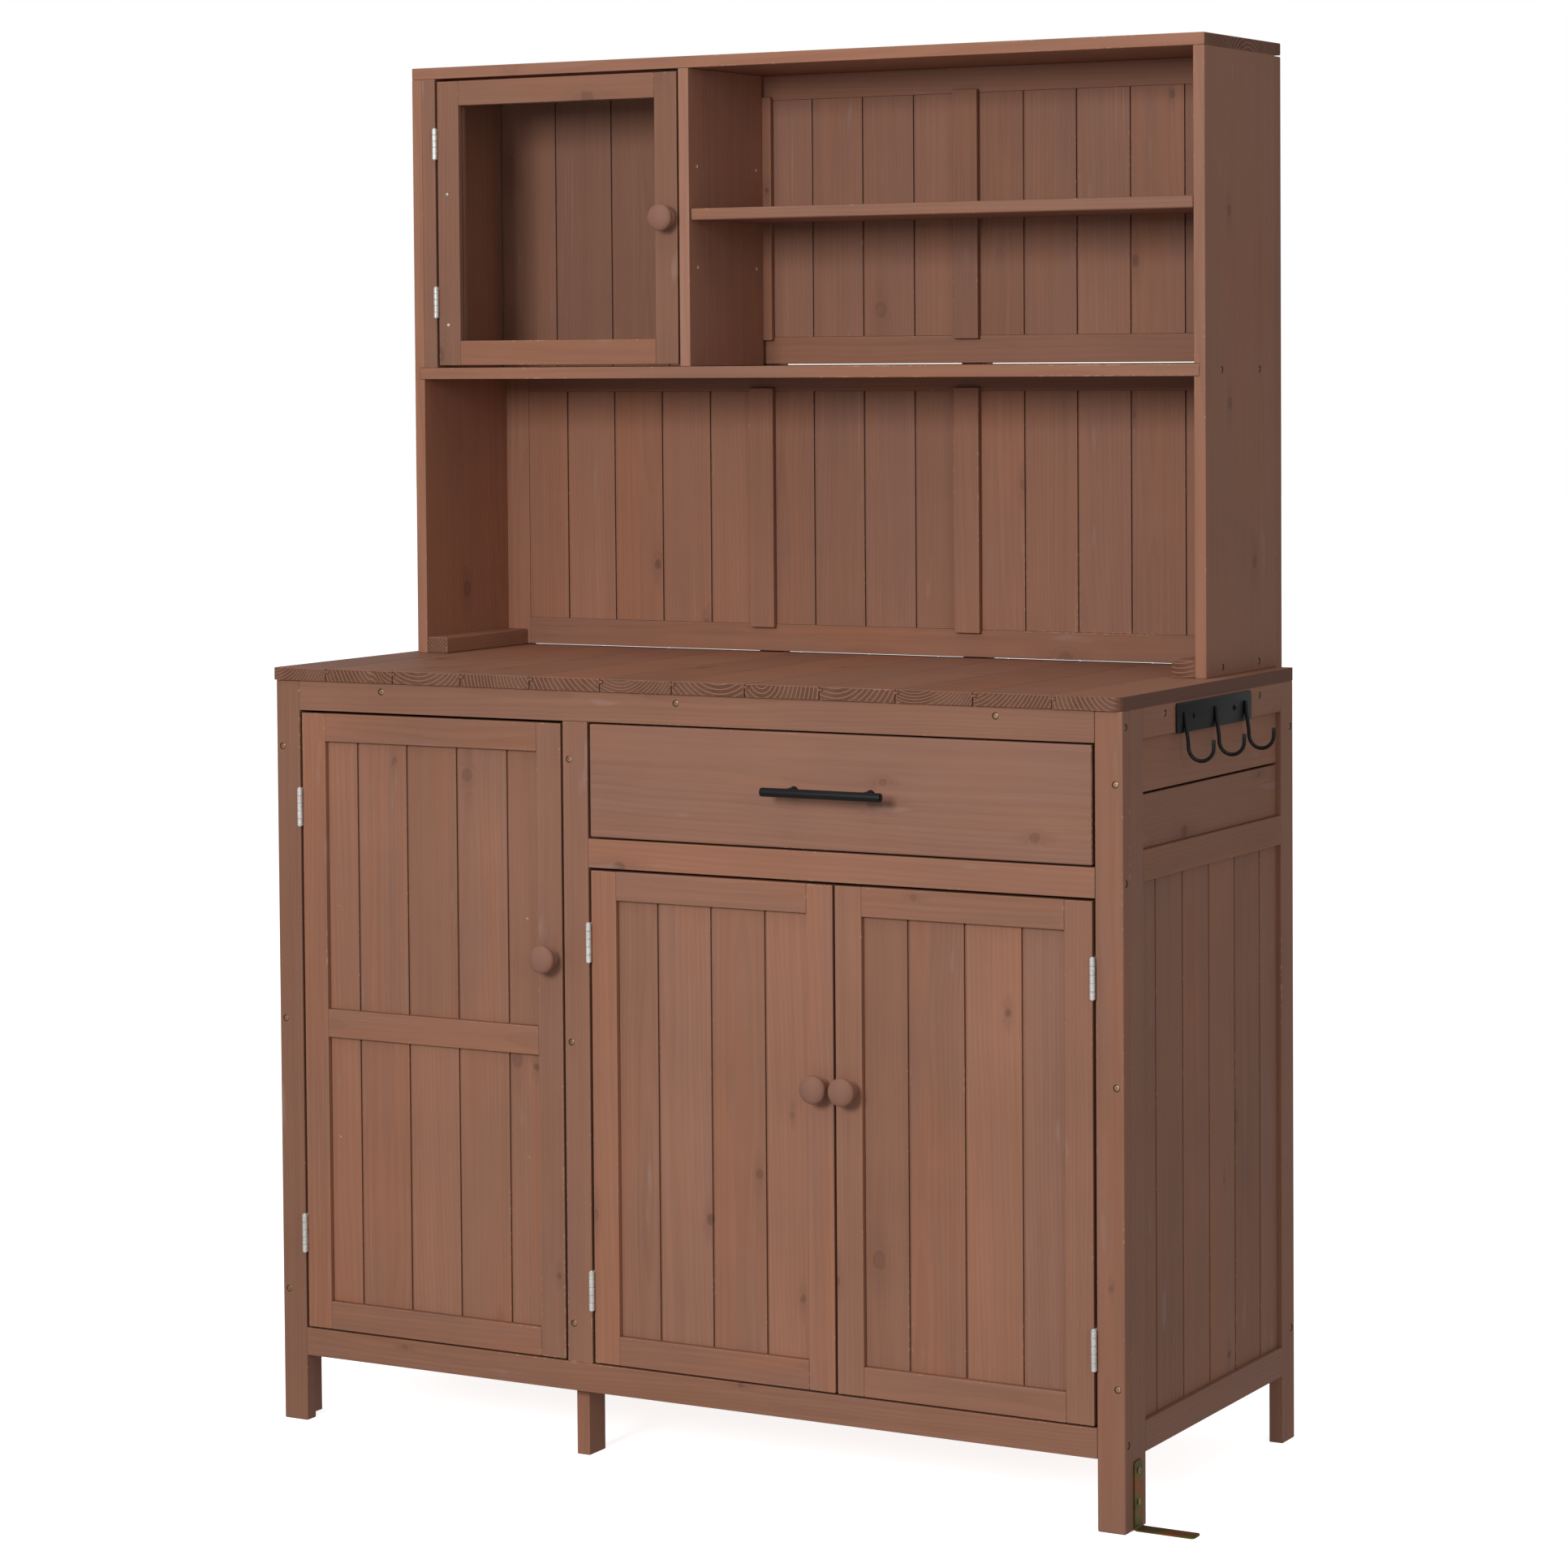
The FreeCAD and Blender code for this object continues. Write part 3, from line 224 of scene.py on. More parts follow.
def add_rings(tree, board, flow):
    """Late wood, 0 to 1, in rings round a pith that lies off to one side of the board."""
    dice_a, dice_b, dice_c = board.dice
    wander = board.noise(2.6, 9.0, 1.0, detail=2.0)
    pith_v = tree.spread(dice_a, PITH_ASIDE)
    pith_w = tree.maths("MULTIPLY_ADD", dice_b, PITH_RANGE, PITH_NEAREST)
    lean = tree.spread(dice_c, 0.05)
    ring_v = tree.maths("MULTIPLY_ADD", board.u, lean, tree.maths("ADD", board.v, pith_v))
    ring_w = tree.maths("ADD", board.w, pith_w)
    trunk = tree.vector("LENGTH", tree.join(ring_v, ring_w, 0.0))
    trunk = tree.maths("MULTIPLY_ADD", wander, 0.014, trunk)
    trunk = tree.maths("MULTIPLY_ADD", flow, 0.007, trunk)
    spacing = tree.maths("MULTIPLY_ADD", dice_c, RING_RANGE, RING_NARROWEST)
    turn = tree.maths("FRACT", tree.maths("DIVIDE", trunk, spacing))
    return tree.maths("MULTIPLY", tree.step(turn, 0.35, 0.92), tree.step(turn, 1.0, 0.94))


def end_grain(tree, board, late, end_rings):
    """How much of an end the surface is, and an end's colour: rings on dark, partly under stain."""
    facing = tree.maths("ABSOLUTE", tree.vector("DOT_PRODUCT", board.normal, board.along))
    end = tree.step(facing, 0.60, 0.85)
    ring_line = tree.step(late, 0.62, 0.96)
    pore = tree.noise(tree.join(tree.maths("MULTIPLY", board.u, 30.0), board.v, board.w), 420.0, 3.0)
    patch = tree.join(board.seed, tree.maths("MULTIPLY", board.v, 22.0), 0.0)
    film = tree.step(tree.noise(patch, 1.0, 2.0), 0.42, 0.60)
    colour = tree.mix(pore, END_DARK, STAIN_DARK)
    colour = tree.mix(tree.maths("MULTIPLY", ring_line, 0.70 * end_rings), colour, END_PALE)
    film = tree.maths("MULTIPLY_ADD", film, 0.25, 1.0 - end_rings, clamp=True)
    return end, tree.mix(film, colour, STAIN_GREY)


def edge_distance(tree, board):
    """The distance to the board's nearest arris: the middle one of those to its three pairs of faces."""
    half = tree.split(tree.attribute("board_half"))
    gap_u = tree.maths("SUBTRACT", half[0], tree.maths("ABSOLUTE", board.u))
    gap_v = tree.maths("SUBTRACT", half[1], tree.maths("ABSOLUTE", board.v))
    gap_w = tree.maths("SUBTRACT", half[2], tree.maths("ABSOLUTE", board.w))
    low = tree.maths("MINIMUM", gap_u, gap_v)
    high = tree.maths("MAXIMUM", gap_u, gap_v)
    return tree.maths("MAXIMUM", low, tree.maths("MINIMUM", high, gap_w))


def wood(name, rings=0.5, wear_and_highlight=0.5, tone=1.0, end_rings=1.0, knot_rarity=0.74, mauve=0.0, seam_stain_and_shade=0.0):
    """Stained softwood. Each board has its own stretch of an imaginary trunk, with rings and knots."""
    tree = Tree(name)
    board = Board(tree)
    dice_a, dice_b, dice_c = board.dice
    knot, rim, halo, flow, knot_depth = add_knots(tree, board, knot_rarity)
    late = add_rings(tree, board, flow)

    # fibres, streaks and slow drifts of the stain
    fibre = board.noise(16.0, 950.0, detail=3.0, roughness=0.6)
    streak = board.noise(2.0, 110.0, detail=4.0, roughness=0.62)
    drift = board.noise(4.5, 24.0, 1.0, detail=3.0, roughness=0.55)
    drift_b = board.noise(2.4, 13.0, 3.0, detail=2.0)
    cloud = tree.noise(board.place, 5.5, 3.0, 0.6)

    grey = tree.step(tree.maths("MULTIPLY_ADD", dice_a, 0.45, drift), 0.62 - mauve, 1.02 - mauve)
    orange = tree.step(tree.maths("MULTIPLY_ADD", dice_b, 0.45, drift_b), 0.62 + mauve, 1.02 + mauve)
    colour = tree.mix(tree.maths("MULTIPLY", orange, 0.75), STAIN_BASE, STAIN_ORANGE)
    colour = tree.mix(tree.maths("MULTIPLY", grey, 0.70), colour, STAIN_GREY)
    shade = tree.maths("MULTIPLY_ADD", streak, STREAK_SHADE, 1.0 - STREAK_SHADE / 2)
    shade = tree.maths("MULTIPLY_ADD", fibre, FIBRE_SHADE, shade)
    shade = tree.maths("MULTIPLY_ADD", cloud, CLOUD_SHADE, shade)
    shade = tree.maths("MULTIPLY_ADD", tree.maths("MULTIPLY", late, streak), -RING_SHADE * rings, shade)
    shade = tree.maths("MULTIPLY_ADD", dice_c, BOARD_SHADE, shade)
    shade = tree.maths("ADD", shade, -(FIBRE_SHADE + CLOUD_SHADE + BOARD_SHADE) / 2)
    shade = tree.maths("MULTIPLY", shade, tone)
    grey_shade = tree.add("ShaderNodeCombineColor", {0: shade, 1: shade, 2: shade}).outputs[0]
    colour = tree.mix(1.0, colour, grey_shade, "MULTIPLY")
    colour = tree.mix(tree.maths("MULTIPLY", halo, 0.30), colour, STAIN_DARK)
    depth = tree.maths("MULTIPLY_ADD", knot_depth, 0.42, 0.16)
    colour = tree.mix(tree.maths("MULTIPLY", knot, depth), colour, KNOT_DARK)
    colour = tree.mix(tree.maths("MULTIPLY", rim, 0.26), colour, KNOT_DARK)

    # pale resin streaks and a thin film where the stain did not take
    resin = board.noise(3.2, 420.0, 8.0, detail=1.0)
    resin_where = board.noise(1.3, 17.0, 2.0, detail=1.0)
    resin = tree.maths("MULTIPLY", tree.step(resin, 0.60, 0.72), tree.step(resin_where, 0.64, 0.74))
    colour = tree.mix(tree.maths("MULTIPLY", resin, 0.40), colour, PALE_WOOD)
    film = tree.step(board.noise(9.0, 42.0, 4.0, detail=2.0), 0.66, 0.78)
    colour = tree.mix(tree.maths("MULTIPLY", film, 0.45), colour, FILM_PALE)

    end, end_colour = end_grain(tree, board, late, end_rings)
    colour = tree.mix(end, colour, end_colour)

    # stain that has pooled in the seams, and painted shade there, on the narrow sides of the planks
    sideways = tree.maths("ABSOLUTE", tree.vector("DOT_PRODUCT", board.normal, board.across))
    colour = tree.mix(tree.maths("MULTIPLY", tree.step(sideways, 0.30, 0.85), seam_stain_and_shade), colour, SEAM_STAIN_AND_SHADE)

    # worn arrises and small chips, with a painted highlight line along every arris
    to_edge = edge_distance(tree, board)
    fine_chips = tree.noise(board.place, 150.0, 4.0, 0.65)
    chips = tree.maths("MULTIPLY_ADD", tree.noise(board.place, 7.0, 2.0), 0.5, fine_chips)
    chip = tree.maths("MULTIPLY", tree.step(chips, 0.86, 0.94), tree.step(to_edge, 0.0021, 0.0008))
    # a pale line right at each arris: partly rubbed stain, partly painted highlight
    rubbed_and_highlit = tree.maths("MULTIPLY", tree.step(to_edge, 0.0014, 0.0), 0.16)
    worn_and_highlit = tree.maths("MAXIMUM", tree.maths("MULTIPLY", chip, 0.65), rubbed_and_highlit)
    colour = tree.mix(tree.maths("MULTIPLY", worn_and_highlit, wear_and_highlight), colour, PALE_WOOD)

    # a few nicks through the stain on the faces
    nick = board.noise(90.0, 190.0, 40.0, detail=1.0)
    nick_where = tree.step(tree.noise(board.place, 11.0, 1.0), 0.60, 0.70)
    nicks = tree.maths("MULTIPLY", tree.step(nick, 0.79, 0.83), nick_where)
    colour = tree.mix(tree.maths("MULTIPLY", nicks, 0.6), colour, PALE_WOOD)

    height = tree.maths("MULTIPLY_ADD", fibre, 0.5, tree.maths("MULTIPLY", late, 0.30))
    height = tree.maths("MULTIPLY_ADD", drift, 0.6, height)
    height = tree.maths("MULTIPLY_ADD", knot, -0.6, height)
    height = tree.maths("MULTIPLY_ADD", nicks, -0.8, height)
    rough = tree.maths("MULTIPLY_ADD", streak, 0.20, 0.46)
    rough = tree.maths("MULTIPLY_ADD", end, 0.15, rough, clamp=True)
    return tree.finish(Base_Color=colour, Roughness=rough, Specular_IOR_Level=0.20,
                       Normal=tree.bump(height, 0.30, 0.0004))


def metal(name, colour, second, roughness, metallic, scale=300.0, specular=0.5):
    """A fitting's surface, plated, coated or moulded: two tones in fine blotches, with small scratches."""
    tree = Tree(name)
    place = tree.add("ShaderNodeTexCoord").outputs["Object"]
    blotch = tree.noise(place, scale, 3.0, 0.6)
    cloud = tree.noise(place, scale / 8, 2.0)
    scratch = tree.noise(tree.vector("MULTIPLY", place, (60.0, 900.0, 900.0)), 1.0, 2.0)
    share = tree.step(tree.maths("MULTIPLY_ADD", cloud, 0.6, blotch), 0.55, 1.05)
    tint = tree.mix(share, colour, second)
    rough = tree.maths("MULTIPLY_ADD", blotch, 0.25, roughness - 0.1)
    rough = tree.maths("MULTIPLY_ADD", scratch, 0.12, rough, clamp=True)
    height = tree.maths("ADD", blotch, scratch)
    return tree.finish(Base_Color=tint, Roughness=rough, Metallic=metallic, Specular_IOR_Level=specular,
                       Normal=tree.bump(height, 0.15, 0.0002))


def rainbow_zinc(name):
    """Yellow chromate on zinc: olive green that drifts into orange and violet."""
    tree = Tree(name)
    place = tree.add("ShaderNodeTexCoord").outputs["Object"]
    bands = tree.noise(tree.vector("MULTIPLY", place, (30.0, 18.0, 42.0)), 1.0, 2.0)
    fine = tree.noise(place, 600.0, 3.0, 0.6)
    tint = tree.mix(tree.step(bands, 0.34, 0.48), linear(112, 94, 42), linear(124, 116, 50))
    tint = tree.mix(tree.step(bands, 0.50, 0.60), tint, linear(170, 98, 40))
    tint = tree.mix(tree.step(bands, 0.62, 0.72), tint, linear(116, 84, 88))
    tint = tree.mix(tree.maths("MULTIPLY", fine, 0.35), tint, linear(70, 60, 28))
    rough = tree.maths("MULTIPLY_ADD", fine, 0.22, 0.24, clamp=True)
    return tree.finish(Base_Color=tint, Roughness=rough, Metallic=0.80,
                       Normal=tree.bump(fine, 0.12, 0.0002))


def glass(name):
    """A thin clear pane, seen through, with faint smears."""
    tree = Tree(name)
    place = tree.add("ShaderNodeTexCoord").outputs["Object"]
    smear = tree.noise(place, 6.0, 3.0, 0.6)
    speck = tree.noise(place, 260.0, 2.0, 0.6)
    rough = tree.step(smear, 0.45, 0.8, 0.03, 0.12)
    alpha = tree.maths("MULTIPLY_ADD", tree.step(speck, 0.76, 0.82), 0.06, 0.015)
    tint = tree.mix(smear, linear(40, 52, 50), linear(62, 70, 68))
    return tree.finish(Base_Color=tint, Roughness=rough, Alpha=alpha, IOR=1.5)


FLOOR_GLOW = 0.84


def pale_floor(name):
    """Off-white with a glow of its own, so that the ground reads as white paper."""
    tree = Tree(name)
    place = tree.add("ShaderNodeTexCoord").outputs["Object"]
    cloud = tree.noise(place, 1.2, 2.0)
    colour = tree.mix(cloud, (0.90, 0.90, 0.90, 1), (0.94, 0.94, 0.94, 1))
    return tree.finish(Base_Color=colour, Roughness=0.8, Specular_IOR_Level=0.1,
                       Emission_Color=(1, 1, 1, 1), Emission_Strength=FLOOR_GLOW)


MATERIALS = {
    "frame_wood": wood("stained_frame", wear_and_highlight=0.8),
    "plank_wood": wood("stained_planks", wear_and_highlight=0.5, seam_stain_and_shade=0.85),
    "board_wood": wood("stained_boards", rings=0.6, wear_and_highlight=0.8),
    "inner_wood": wood("inner_boards", wear_and_highlight=0.5, tone=1.05),
    "mauve_wood": wood("stained_drawer_front", wear_and_highlight=0.8, tone=0.96, mauve=0.30),
    # a darker copy for the front legs, the hutch door frame and its hinge strip: painted shade
    "shaded_wood": wood("painted_shade_wood", wear_and_highlight=0.8, tone=0.87),
    # a lighter copy of the plank wood for the worktop: painted light
    "worktop_wood": wood("painted_light_worktop", wear_and_highlight=0.5, tone=1.10, seam_stain_and_shade=0.85),
    "side_wood": wood("stained_side_planks", wear_and_highlight=0.5, seam_stain_and_shade=0.35),
    # a lighter copy of the board wood for the hutch divider: painted light
    "divider_wood": wood("painted_light_divider", rings=0.6, wear_and_highlight=0.8, tone=1.25),
    "knob_wood": wood("turned_knob", rings=0.3, wear_and_highlight=0.0, tone=1.10, end_rings=0.12, knot_rarity=NO_KNOTS,
                      mauve=0.25),
    "zinc_steel": metal("zinc_plate", linear(240, 239, 235), linear(205, 203, 198), 0.34, metallic=0.45),
    "screw_steel": metal("screw_plate", linear(204, 170, 130), linear(150, 116, 82), 0.32, metallic=0.65),
    "yellow_zinc_steel": rainbow_zinc("yellow_zinc"),
    "black_steel": metal("black_coat", linear(12, 13, 15), linear(18, 19, 21), 0.34, metallic=0.0,
                         scale=900.0, specular=0.3),
    "catch_plastic": metal("catch_body", linear(92, 66, 48), linear(80, 56, 40), 0.5, metallic=0.0,
                           scale=700.0),
    "glass": glass("clear_glass"),
    # dark brown for the rings in the countersinks: painted shade
    "painted_countersink_shade": metal("painted_countersink_shade", linear(74, 42, 26), linear(54, 32, 22), 0.6, metallic=0.0,
                          scale=700.0),
    "pale_hole_lining": metal("pale_hole_lining", linear(232, 214, 188), linear(208, 184, 152), 0.7, metallic=0.0,
                       scale=500.0),
}
# the nodes that look a little different from the rest of their slot
LOOK_OF = {"drawer_front": "mauve_wood", "hutch_divider": "divider_wood", "worktop_planks": "worktop_wood",
           "left_side_planks": "side_wood", "right_side_planks": "side_wood", "front_leg_left": "shaded_wood",
           "front_leg_right": "shaded_wood", "hutch_door_frame": "shaded_wood",
           "hutch_hinge_strip": "shaded_wood"}


# ---------------------------------------------------------------- boards

def split_solids(mesh):
    """The CAD mesh's separate solids, each as (corner points, triangles). Boards may touch at an edge."""
    points = np.array([vertex.co for vertex in mesh.vertices])
    mesh.calc_loop_triangles()
    triangles = np.array([triangle.vertices for triangle in mesh.loop_triangles])
    _, keys = np.unique(np.round(points, 6), axis=0, return_inverse=True)
    keys = keys.reshape(-1)
    faces_at = {}
    for face, corners in enumerate(keys[triangles]):
        for a, b in ((0, 1), (1, 2), (2, 0)):
            edge = (min(corners[a], corners[b]), max(corners[a], corners[b]))
            faces_at.setdefault(edge, []).append(face)
    leader = list(range(len(triangles)))

    def root(face):
        """The face that stands for all those joined to this one."""
        while leader[face] != face:
            leader[face] = leader[leader[face]]
            face = leader[face]
        return face

    for faces in faces_at.values():
        if len(faces) == 2:
            leader[root(faces[0])] = root(faces[1])
    groups = {}
    for face in range(len(triangles)):
        groups.setdefault(root(face), []).append(face)
    point_at = dict(zip(keys, points))
    solids = []
    for faces in groups.values():
        used, corners = np.unique(keys[triangles[faces]], return_inverse=True)
        places = np.array([point_at[key] for key in used])
        solids.append((places, corners.reshape(-1, 3)))
    return sorted(solids, key=lambda solid: tuple(np.round(solid[0].min(0), 5)))


def clean_solid(points, triangles):
    """A bmesh of one solid, with its flat faces whole."""
    solid = bmesh.new()
    corners = [solid.verts.new(point) for point in points]
    for triangle in triangles:
        if len(set(triangle)) == 3:
            solid.faces.new([corners[index] for index in triangle])
    bmesh.ops.dissolve_limit(solid, angle_limit=math.radians(0.5), verts=solid.verts, edges=solid.edges)
    solid.normal_update()
    return solid


def face_box(solid):
    """The box of the board's widest plane, so that a tongue doesn't count as width."""
    points = np.array([vertex.co for vertex in solid.verts])
    low, high = points.min(0), points.max(0)
    thin = int(np.argmin(high - low))
    planes = {}
    for face in solid.faces:
        if abs(face.normal[thin]) > 0.99:
            planes.setdefault(round(face.calc_center_median()[thin], 4), []).append(face)
    widest = max(planes.values(), key=lambda faces: sum(face.calc_area() for face in faces))
    flat = np.array([vertex.co for face in widest for vertex in face.verts])
    for axis in range(3):
        if axis != thin:
            low[axis], high[axis] = flat[:, axis].min(), flat[:, axis].max()
    return low, high


def round_arrises(solid, width, shortest, outer_only):
    """Rounds the board's long edges, or only those on its outer box, and leaves drilled holes sharp."""
    points = np.array([vertex.co for vertex in solid.verts])
    low, high = points.min(0), points.max(0)

    def on_box_edge(edge):
        ends = np.array([vertex.co for vertex in edge.verts])
        at_low = np.all(np.abs(ends - low) < SAME_PLACE, axis=0)
        at_high = np.all(np.abs(ends - high) < SAME_PLACE, axis=0)
        return int((at_low | at_high).sum()) >= 2

    edges = [edge for edge in solid.edges
             if len(edge.link_faces) == 2 and edge.calc_length() > shortest
             and edge.calc_face_angle(0) > math.radians(40)
             and (not outer_only or on_box_edge(edge))]
    bmesh.ops.bevel(solid, geom=edges, offset=width, offset_type="OFFSET", segments=3, profile=0.5,
                    affect="EDGES", clamp_overlap=True, loop_slide=False)


def board_axes(size):
    """Grain along the longest side, and the wider of the other two as the board's width."""
    order = np.argsort(size)
    along, across = np.zeros(3), np.zeros(3)
    along[order[2]] = 1.0
    across[order[1]] = 1.0
    return along, across, (size[order[2]] / 2, size[order[1]] / 2, size[order[0]] / 2)


def new_object(name, mesh, look, body, nodes):
    """A piece with this look that rides on the body and stands in for these CAD nodes."""
    mesh.materials.append(MATERIALS[look])
    piece = bpy.data.objects.new(name, mesh)
    SCENE.collection.objects.link(piece)
    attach(piece, body)
    if nodes:
        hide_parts(*nodes)
    return piece


def add_grain(mesh, rows):
    """Stores each face's board: its middle, half sizes, grain direction, width direction and number."""
    for index, name in enumerate(("board_mid", "board_half", "board_along", "board_across")):
        layer = mesh.attributes.new(name, "FLOAT_VECTOR", "FACE")
        layer.data.foreach_set("vector", np.array([row[index] for row in rows], np.float32).ravel())
    layer = mesh.attributes.new("board_seed", "FLOAT", "FACE")
    layer.data.foreach_set("value", np.array([row[4] for row in rows], np.float32))


# width of the rounding, and the shortest edge that gets one, in mm
ARRIS = {"worktop_planks": 1.2, "drawer_front": 2.2, "hutch_cleats": 2.0, "hutch_back_planks": 0.7,
         "front_leg_left": 1.8, "front_leg_right": 1.8, "hutch_door_glass": 0.3,
         "hutch_adjustable_shelf": 2.0}
DEFAULT_ARRIS = 1.1
SHORTEST_EDGE = {"worktop_planks": 1.0}
DEFAULT_SHORTEST = 6.0
# nodes whose grooves keep their edges sharp
GROOVED = ("hutch_door_frame",)
SEEDS = itertools.count(1)


def boards(node):
    """All the boards of a CAD node, rounded, each with its own grain."""
    arris = ARRIS.get(node, DEFAULT_ARRIS) * MM
    shortest = SHORTEST_EDGE.get(node, DEFAULT_SHORTEST) * MM
    whole = bmesh.new()
    rows = []
    for points, triangles in split_solids(frame["nodes"][node].data):
        solid = clean_solid(points, triangles)
        low, high = face_box(solid)
        round_arrises(solid, arris, shortest, node in GROOVED)
        along, across, half = board_axes(high - low)
        part = bpy.data.meshes.new("part")
        solid.to_mesh(part)
        rows += [((low + high) / 2, half, along, across, next(SEEDS))] * len(part.polygons)
        whole.from_mesh(part)
        solid.free()
        bpy.data.meshes.remove(part)
    mesh = bpy.data.meshes.new(node + "_boards")
    whole.to_mesh(mesh)
    whole.free()
    add_grain(mesh, rows)
    mesh.shade_smooth()
    mesh.set_sharp_from_angle(angle=math.radians(50))
    look = LOOK_OF.get(node, NODE_SLOT[node])
    piece = new_object(node + "_boards", mesh, look, NODE_BODY[node], [node])
    piece.modifiers.new("flat_faces", "WEIGHTED_NORMAL").keep_sharp = True


for node in frame["nodes"]:
    if NODE_SLOT[node] in BOARD_SLOTS:
        boards(node)


# ---------------------------------------------------------------- turned, bent and pressed fittings

ORIGIN = Vector((585.0, 227.5, 0.0))
FRONT, BACK, RIGHT, LEFT, UP = (0, -1, 0), (0, 1, 0), (1, 0, 0), (-1, 0, 0), (0, 0, 1)

# cabinet millimetres: the sides, the front and the hutch's front
LEFT_FACE, RIGHT_FACE, FRONT_FACE, HUTCH_FACE = 0, 1100, 0, 269


def at(x, y, z):
    """Cabinet coordinates in millimetres as a place in the frame."""
    return (Vector((x, y, z)) - ORIGIN) * MM


def skin(mesh, rows):
    """Faces between rows of points; a row of one point closes to a tip."""
    count = max(len(row) for row in rows)
    for lower, upper in zip(rows, rows[1:]):
        for index in range(count):
            after = (index + 1) % count
            corners = list(dict.fromkeys([lower[index % len(lower)], lower[after % len(lower)],
                                          upper[after % len(upper)], upper[index % len(upper)]]))
            if len(corners) > 2:
                mesh.faces.new(corners)


def lathe(mesh, place, direction, profile, segments=32, turn=0.0, outline=None):
    """Adds a turned shape: profile is (height, radius) in mm from the place along the direction."""
    matrix = Matrix.Translation(place) @ Vector(direction).to_track_quat("Z", "Y").to_matrix().to_4x4()
    rows = []
    for height, radius in profile:
        row = []
        for index in range(segments if radius > 0 else 1):
            angle = turn + 2 * math.pi * index / segments
            wide = radius * outline(angle - turn) if outline else radius
            spot = Vector((wide * math.cos(angle), wide * math.sin(angle), height))
            row.append(mesh.verts.new(matrix @ (spot * MM)))
        rows.append(row)
    skin(mesh, rows)
    return rows


def tube(mesh, points, radius, segments=18):
    """Adds a round wire along points in a plane of constant Y, with domed ends."""
    points = [Vector(point) for point in points]
    legs = [(b - a).normalized() for a, b in zip(points, points[1:])]
    ways = [legs[0]] + [(a + b).normalized() for a, b in zip(legs, legs[1:])] + [legs[-1]]
    domes = [(radius * (1 - math.sin(a)), radius * math.cos(a)) for a in (1.57, 1.1, 0.6, 0.25)]
    stations = [(points[0] + ways[0] * ahead, ways[0], wide) for ahead, wide in domes]
    stations += list(zip(points[1:-1], ways[1:-1], [radius] * (len(points) - 2)))
    stations += [(points[-1] - ways[-1] * ahead, ways[-1], wide) for ahead, wide in reversed(domes)]
    side = Vector(BACK)
    rows = []
    for centre, way, wide in stations:
        other = way.cross(side)
        rows.append([mesh.verts.new(at(*(centre + wide * (math.cos(a) * side + math.sin(a) * other))))
                     for a in (2 * math.pi * index / segments for index in range(segments))])
    mesh.faces.new(rows[0])
    mesh.faces.new(rows[-1])
    skin(mesh, rows)


def rounded_outline(wide, tall, radius, steps=6):
    """A corner-rounded rectangle round its centre, as (a, b) pairs in mm."""
    outline = []
    for quarter, (sign_a, sign_b) in enumerate(((1, 1), (-1, 1), (-1, -1), (1, -1))):
        for step in range(steps + 1):
            angle = (quarter + step / steps) * math.pi / 2
            outline.append((sign_a * (wide / 2 - radius) + radius * math.cos(angle),
                            sign_b * (tall / 2 - radius) + radius * math.sin(angle)))
    return outline


def plate(mesh, centre, a_way, b_way, outline, thick, edge):
    """Adds a flat plate with this outline that stands on the centre's plane, its front edges softened."""
    a_way, b_way, centre = Vector(a_way), Vector(b_way), Vector(centre)
    out = a_way.cross(b_way)
    back, front = ([mesh.verts.new(at(*(centre + a * a_way + b * b_way + level * out))) for a, b in outline]
                   for level in (0, thick))
    mesh.faces.new(list(reversed(back)))
    lid = mesh.faces.new(front)
    skin(mesh, [back, front])
    bmesh.ops.bevel(mesh, geom=list(lid.edges), offset=edge * MM, offset_type="OFFSET", segments=2,
                    profile=0.5, affect="EDGES", clamp_overlap=True)


def in_fixed_order(mesh, name):
    """The bmesh as a mesh whose faces are in the same order each run. A bevel doesn't keep one."""
    mesh.verts.index_update()
    faces = []
    for face in mesh.faces:
        corners = [vertex.index for vertex in face.verts]
        start = corners.index(min(corners))
        faces.append(corners[start:] + corners[:start])
    data = bpy.data.meshes.new(name)
    data.from_pydata([vertex.co[:] for vertex in mesh.verts], [], sorted(faces))
    return data


def finish_piece(mesh, name, slot, body, nodes=(), angle=40, grain=None):
    """Turns a bmesh into a smooth piece; grain is (middle, half sizes, along, across) in mm."""
    bmesh.ops.remove_doubles(mesh, verts=mesh.verts, dist=1e-7)
    bmesh.ops.recalc_face_normals(mesh, faces=mesh.faces)
    data = in_fixed_order(mesh, name)
    mesh.free()
    if grain:
        middle, half, along, across = grain
        add_grain(data, [(at(*middle), Vector(half) * MM, along, across, next(SEEDS))] * len(data.polygons))
    data.shade_smooth()
    data.set_sharp_from_angle(angle=math.radians(angle))
    return new_object(name, data, slot, body, nodes)


def drilled(piece, holes):
    """Cuts round holes (place, direction, radius, depth in mm) through a finished piece."""
    cutter = bmesh.new()
    for place, direction, radius, depth in holes:
        drill = ((-depth, 0), (-depth, radius), (depth, radius), (depth, 0))
        lathe(cutter, place, direction, drill, segments=24)
    bmesh.ops.recalc_face_normals(cutter, faces=cutter.faces)
    data = bpy.data.meshes.new("drills")
    cutter.to_mesh(data)
    cutter.free()
    drills = bpy.data.objects.new("drills", data)
    SCENE.collection.objects.link(drills)
    step = piece.modifiers.new("holes", "BOOLEAN")
    step.operation = "DIFFERENCE"
    step.solver = "EXACT"
    step.object = drills
    view = bpy.context.evaluated_depsgraph_get()
    result = bpy.data.meshes.new_from_object(piece.evaluated_get(view))
    piece.modifiers.remove(step)
    old = piece.data
    piece.data = result
    result.name = piece.name
    bpy.data.meshes.remove(old)
    bpy.data.objects.remove(drills)
    bpy.data.meshes.remove(data)
    result.set_sharp_from_angle(angle=math.radians(35))


